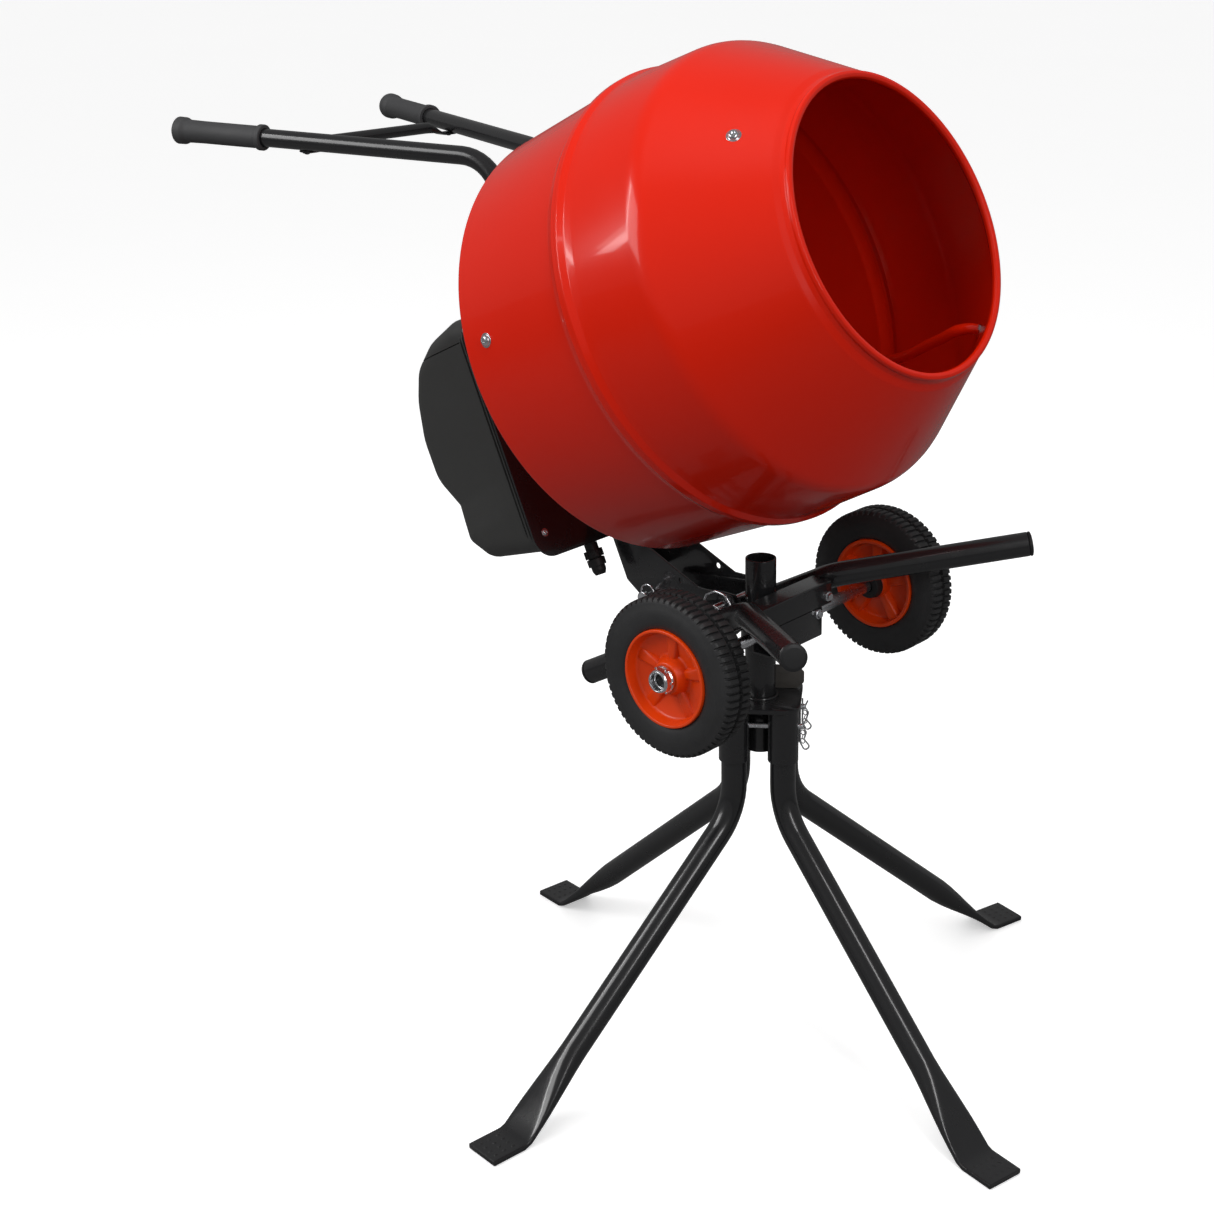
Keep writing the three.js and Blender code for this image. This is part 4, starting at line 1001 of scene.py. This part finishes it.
def make_brace(knee, end):
    """The tie between the handles: a tube whose flattened ends are screwed under them."""
    seat = knee.lerp(end, BRACE_ALONG)
    up = on_drum((-218, 0, 918))
    seat -= up * BRACE_UNDER
    half = seat.y
    path = [(-half - 1, 0), (-half + 18, 0), (-half + 44, BRACE_RISE), (half - 44, BRACE_RISE),
            (half - 18, 0), (half + 1, 0)]
    points = [Vector((seat.x, y, seat.z)) + up * rise for y, rise in path]
    # Its rise makes the tube a little longer than it is wide.
    length = 2 * (half + 1) + 3

    def section(distance):
        near = min(distance, length - distance)
        t = min(1.0, max(0.0, (near - BRACE_FLAT_RUN) / BRACE_FLAT_RUN))
        t = t * t * (3 - 2 * t)
        return [a + (b - a) * t for a, b in zip(BRACE_FLAT, BRACE_ROUND)]

    brace = Shape(TIPPING)
    centreline = dense(fillet(points, [20] * len(points)))
    brace.add(sweep(centreline, BRACE_RADIUS, bend=0, segments=32, section=section))
    for s in (-1, 1):
        at = Vector((seat.x, s * (half - 3), seat.z)) - up * 1.6
        dome_bolt(brace, at, -up, 4, 2, 6)
    brace.piece("brace_bar", "tipping_unit", "black_paint", replaces=["handle_brace"])


def make_switch():
    """The switch box with its start and stop buttons."""
    x, y, z, depth, width, height = -205, 177, -62, 26, 44, 74
    case = Shape(TIPPING)
    half_x, half_z = width / 2, height / 2
    case.add(block((x - half_x, y - 12, z - half_z), (x + half_x, y + depth, z + half_z), 4, 4))
    half_x, half_z = half_x + 4, half_z + 4
    case.add(block((x - half_x, y - 14, z - half_z), (x + half_x, y + 3, z + half_z), 2, 3))
    for dz in (-18.5, 18.5):
        collar = turned([(10.6, -2, 0.4), (13.5, -2), (13.5, 3, 1.2), (10.6, 3, 0.6)], 40)
        case.add(collar, facing((x, y + depth, z + dz), Y))
    case.piece("switch_case", "tipping_unit", "cover_plastic", replaces=["switch_box"])
    for name, dz, slot in (("start", 18.5, "start_green"), ("stop", -18.5, "stop_red")):
        button = Shape(TIPPING)
        profile = [(0, -4), (9.8, -4), (9.8, 3.2, 0.8), (7, 4.4, 2), (0, 4.2)]
        button.add(turned(profile, 40), facing((x, y + depth, z + dz), Y))
        button.piece(f"{name}_push", f"{name}_switch", slot, replaces=[f"{name}_button"])


# ---------- stage ----------
def by_ray(tree, output, otherwise, seen):
    """A value for one kind of ray (seen), and another value for all the others."""
    path = tree.nodes.new("ShaderNodeLightPath")
    mix = tree.nodes.new("ShaderNodeMix")
    tree.links.new(path.outputs[output], mix.inputs["Factor"])
    mix.inputs["A"].default_value = otherwise
    mix.inputs["B"].default_value = seen
    return mix


# Strengths of the white world and of the floor, by what kind of ray meets them.
WORLD_LIGHT, WORLD_MIRRORED, WORLD_SEEN = 0.62, 0.2, 0.96
FLOOR_DIM, FLOOR_GLOW = 0.15, 0.4


def make_stage():
    """The floor, the world and the lights."""
    bpy.ops.mesh.primitive_plane_add(size=400, location=(0, 0, -0.0005))
    floor = bpy.context.object
    floor.name = "floor"
    pale = finish("pale_floor", (0.9, 0.9, 0.9), 0.8, shade=0.004, patch=0.6, grain=40,
                  bump=0.01, spread=0.02, shine=0.1)
    floor.data.materials.append(pale)
    shader = pale.node_tree.nodes["Principled BSDF"]
    # Pale and glowing to the camera, dim to every other ray.
    old = shader.inputs["Base Color"].links[0].from_socket
    path = pale.node_tree.nodes.new("ShaderNodeLightPath")
    mix = pale.node_tree.nodes.new("ShaderNodeMix")
    mix.data_type = "RGBA"
    mix.inputs["A"].default_value = (FLOOR_DIM, FLOOR_DIM, FLOOR_DIM, 1)
    pale.node_tree.links.new(path.outputs["Is Camera Ray"], mix.inputs["Factor"])
    pale.node_tree.links.new(old, mix.inputs["B"])
    pale.node_tree.links.new(mix.outputs["Result"], shader.inputs["Base Color"])
    glow = by_ray(pale.node_tree, "Is Camera Ray", 0.0, FLOOR_GLOW)
    shader.inputs["Emission Color"].default_value = (1, 1, 1, 1)
    pale.node_tree.links.new(glow.outputs["Result"], shader.inputs["Emission Strength"])

    world = bpy.data.worlds.new("studio")
    bpy.context.scene.world = world
    world.use_nodes = True
    tree = world.node_tree
    background = tree.nodes["Background"]
    background.inputs["Color"].default_value = (1.0, 1.0, 1.0, 1)
    glossy = by_ray(tree, "Is Glossy Ray", WORLD_LIGHT, WORLD_MIRRORED)
    seen = by_ray(tree, "Is Camera Ray", WORLD_LIGHT, WORLD_SEEN)
    tree.links.new(glossy.outputs["Result"], seen.inputs["A"])
    tree.links.new(seen.outputs["Result"], background.inputs["Strength"])

    target = Vector((0.05, 0, 0.95))
    # Name, place, size, power, and whether shiny paint mirrors it.
    lights = [("key", (-1.9, -2.3, 2.5), (0.16, 1.7), 9, True),
              ("front", (2.4, -1.0, 2.3), (0.5, 2.0), 20, True),
              ("left", (-1.4, -2.6, 2.6), (1.7, 1.7), 36, True),
              ("top", (0.2, -0.4, 3.0), (1.3, 1.3), 17, False),
              ("back", (-1.5, 2.6, 1.8), (1.2, 1.6), 12, False)]
    for name, at, size, power, mirrored in lights:
        data = bpy.data.lights.new(name, "AREA")
        data.shape = "RECTANGLE"
        data.size, data.size_y = size
        data.energy = power
        lamp = bpy.data.objects.new(name, data)
        lamp.location = at
        lamp.rotation_euler = (Vector(at) - target).to_track_quat("Z", "Y").to_euler()
        lamp.visible_glossy = mirrored
        bpy.context.scene.collection.objects.link(lamp)


def make_camera():
    """The view onto the drum's mouth and the mixer's right side, from a little above."""
    data = bpy.data.cameras.new("camera")
    data.lens = 59.57
    data.sensor_width = 36
    data.shift_x = -0.1063
    data.shift_y = -0.1271
    camera = bpy.data.objects.new("camera", data)
    camera.location = MIXER @ Vector((1502.03, -1905.05, 1504.94))
    heading = Vector((-0.6043, 0.7462, -0.2794))
    camera.rotation_euler = heading.to_track_quat("-Z", "Y").to_euler()
    bpy.context.scene.collection.objects.link(camera)
    bpy.context.scene.camera = camera


bpy.context.scene.view_settings.view_transform = "Standard"
make_camera()
make_stage()
make_stand()
make_trolley()
make_wheels()
make_drum()
make_covers()
make_drive()
make_carrier()
make_handles()
make_switch()

for part in frame["record"]["subparts"]:
    node = frame["nodes"][part["node"]]
    if not node.hide_render:
        node.data.materials.clear()
        node.data.materials.append(LOOKS[part["material_slot"]])
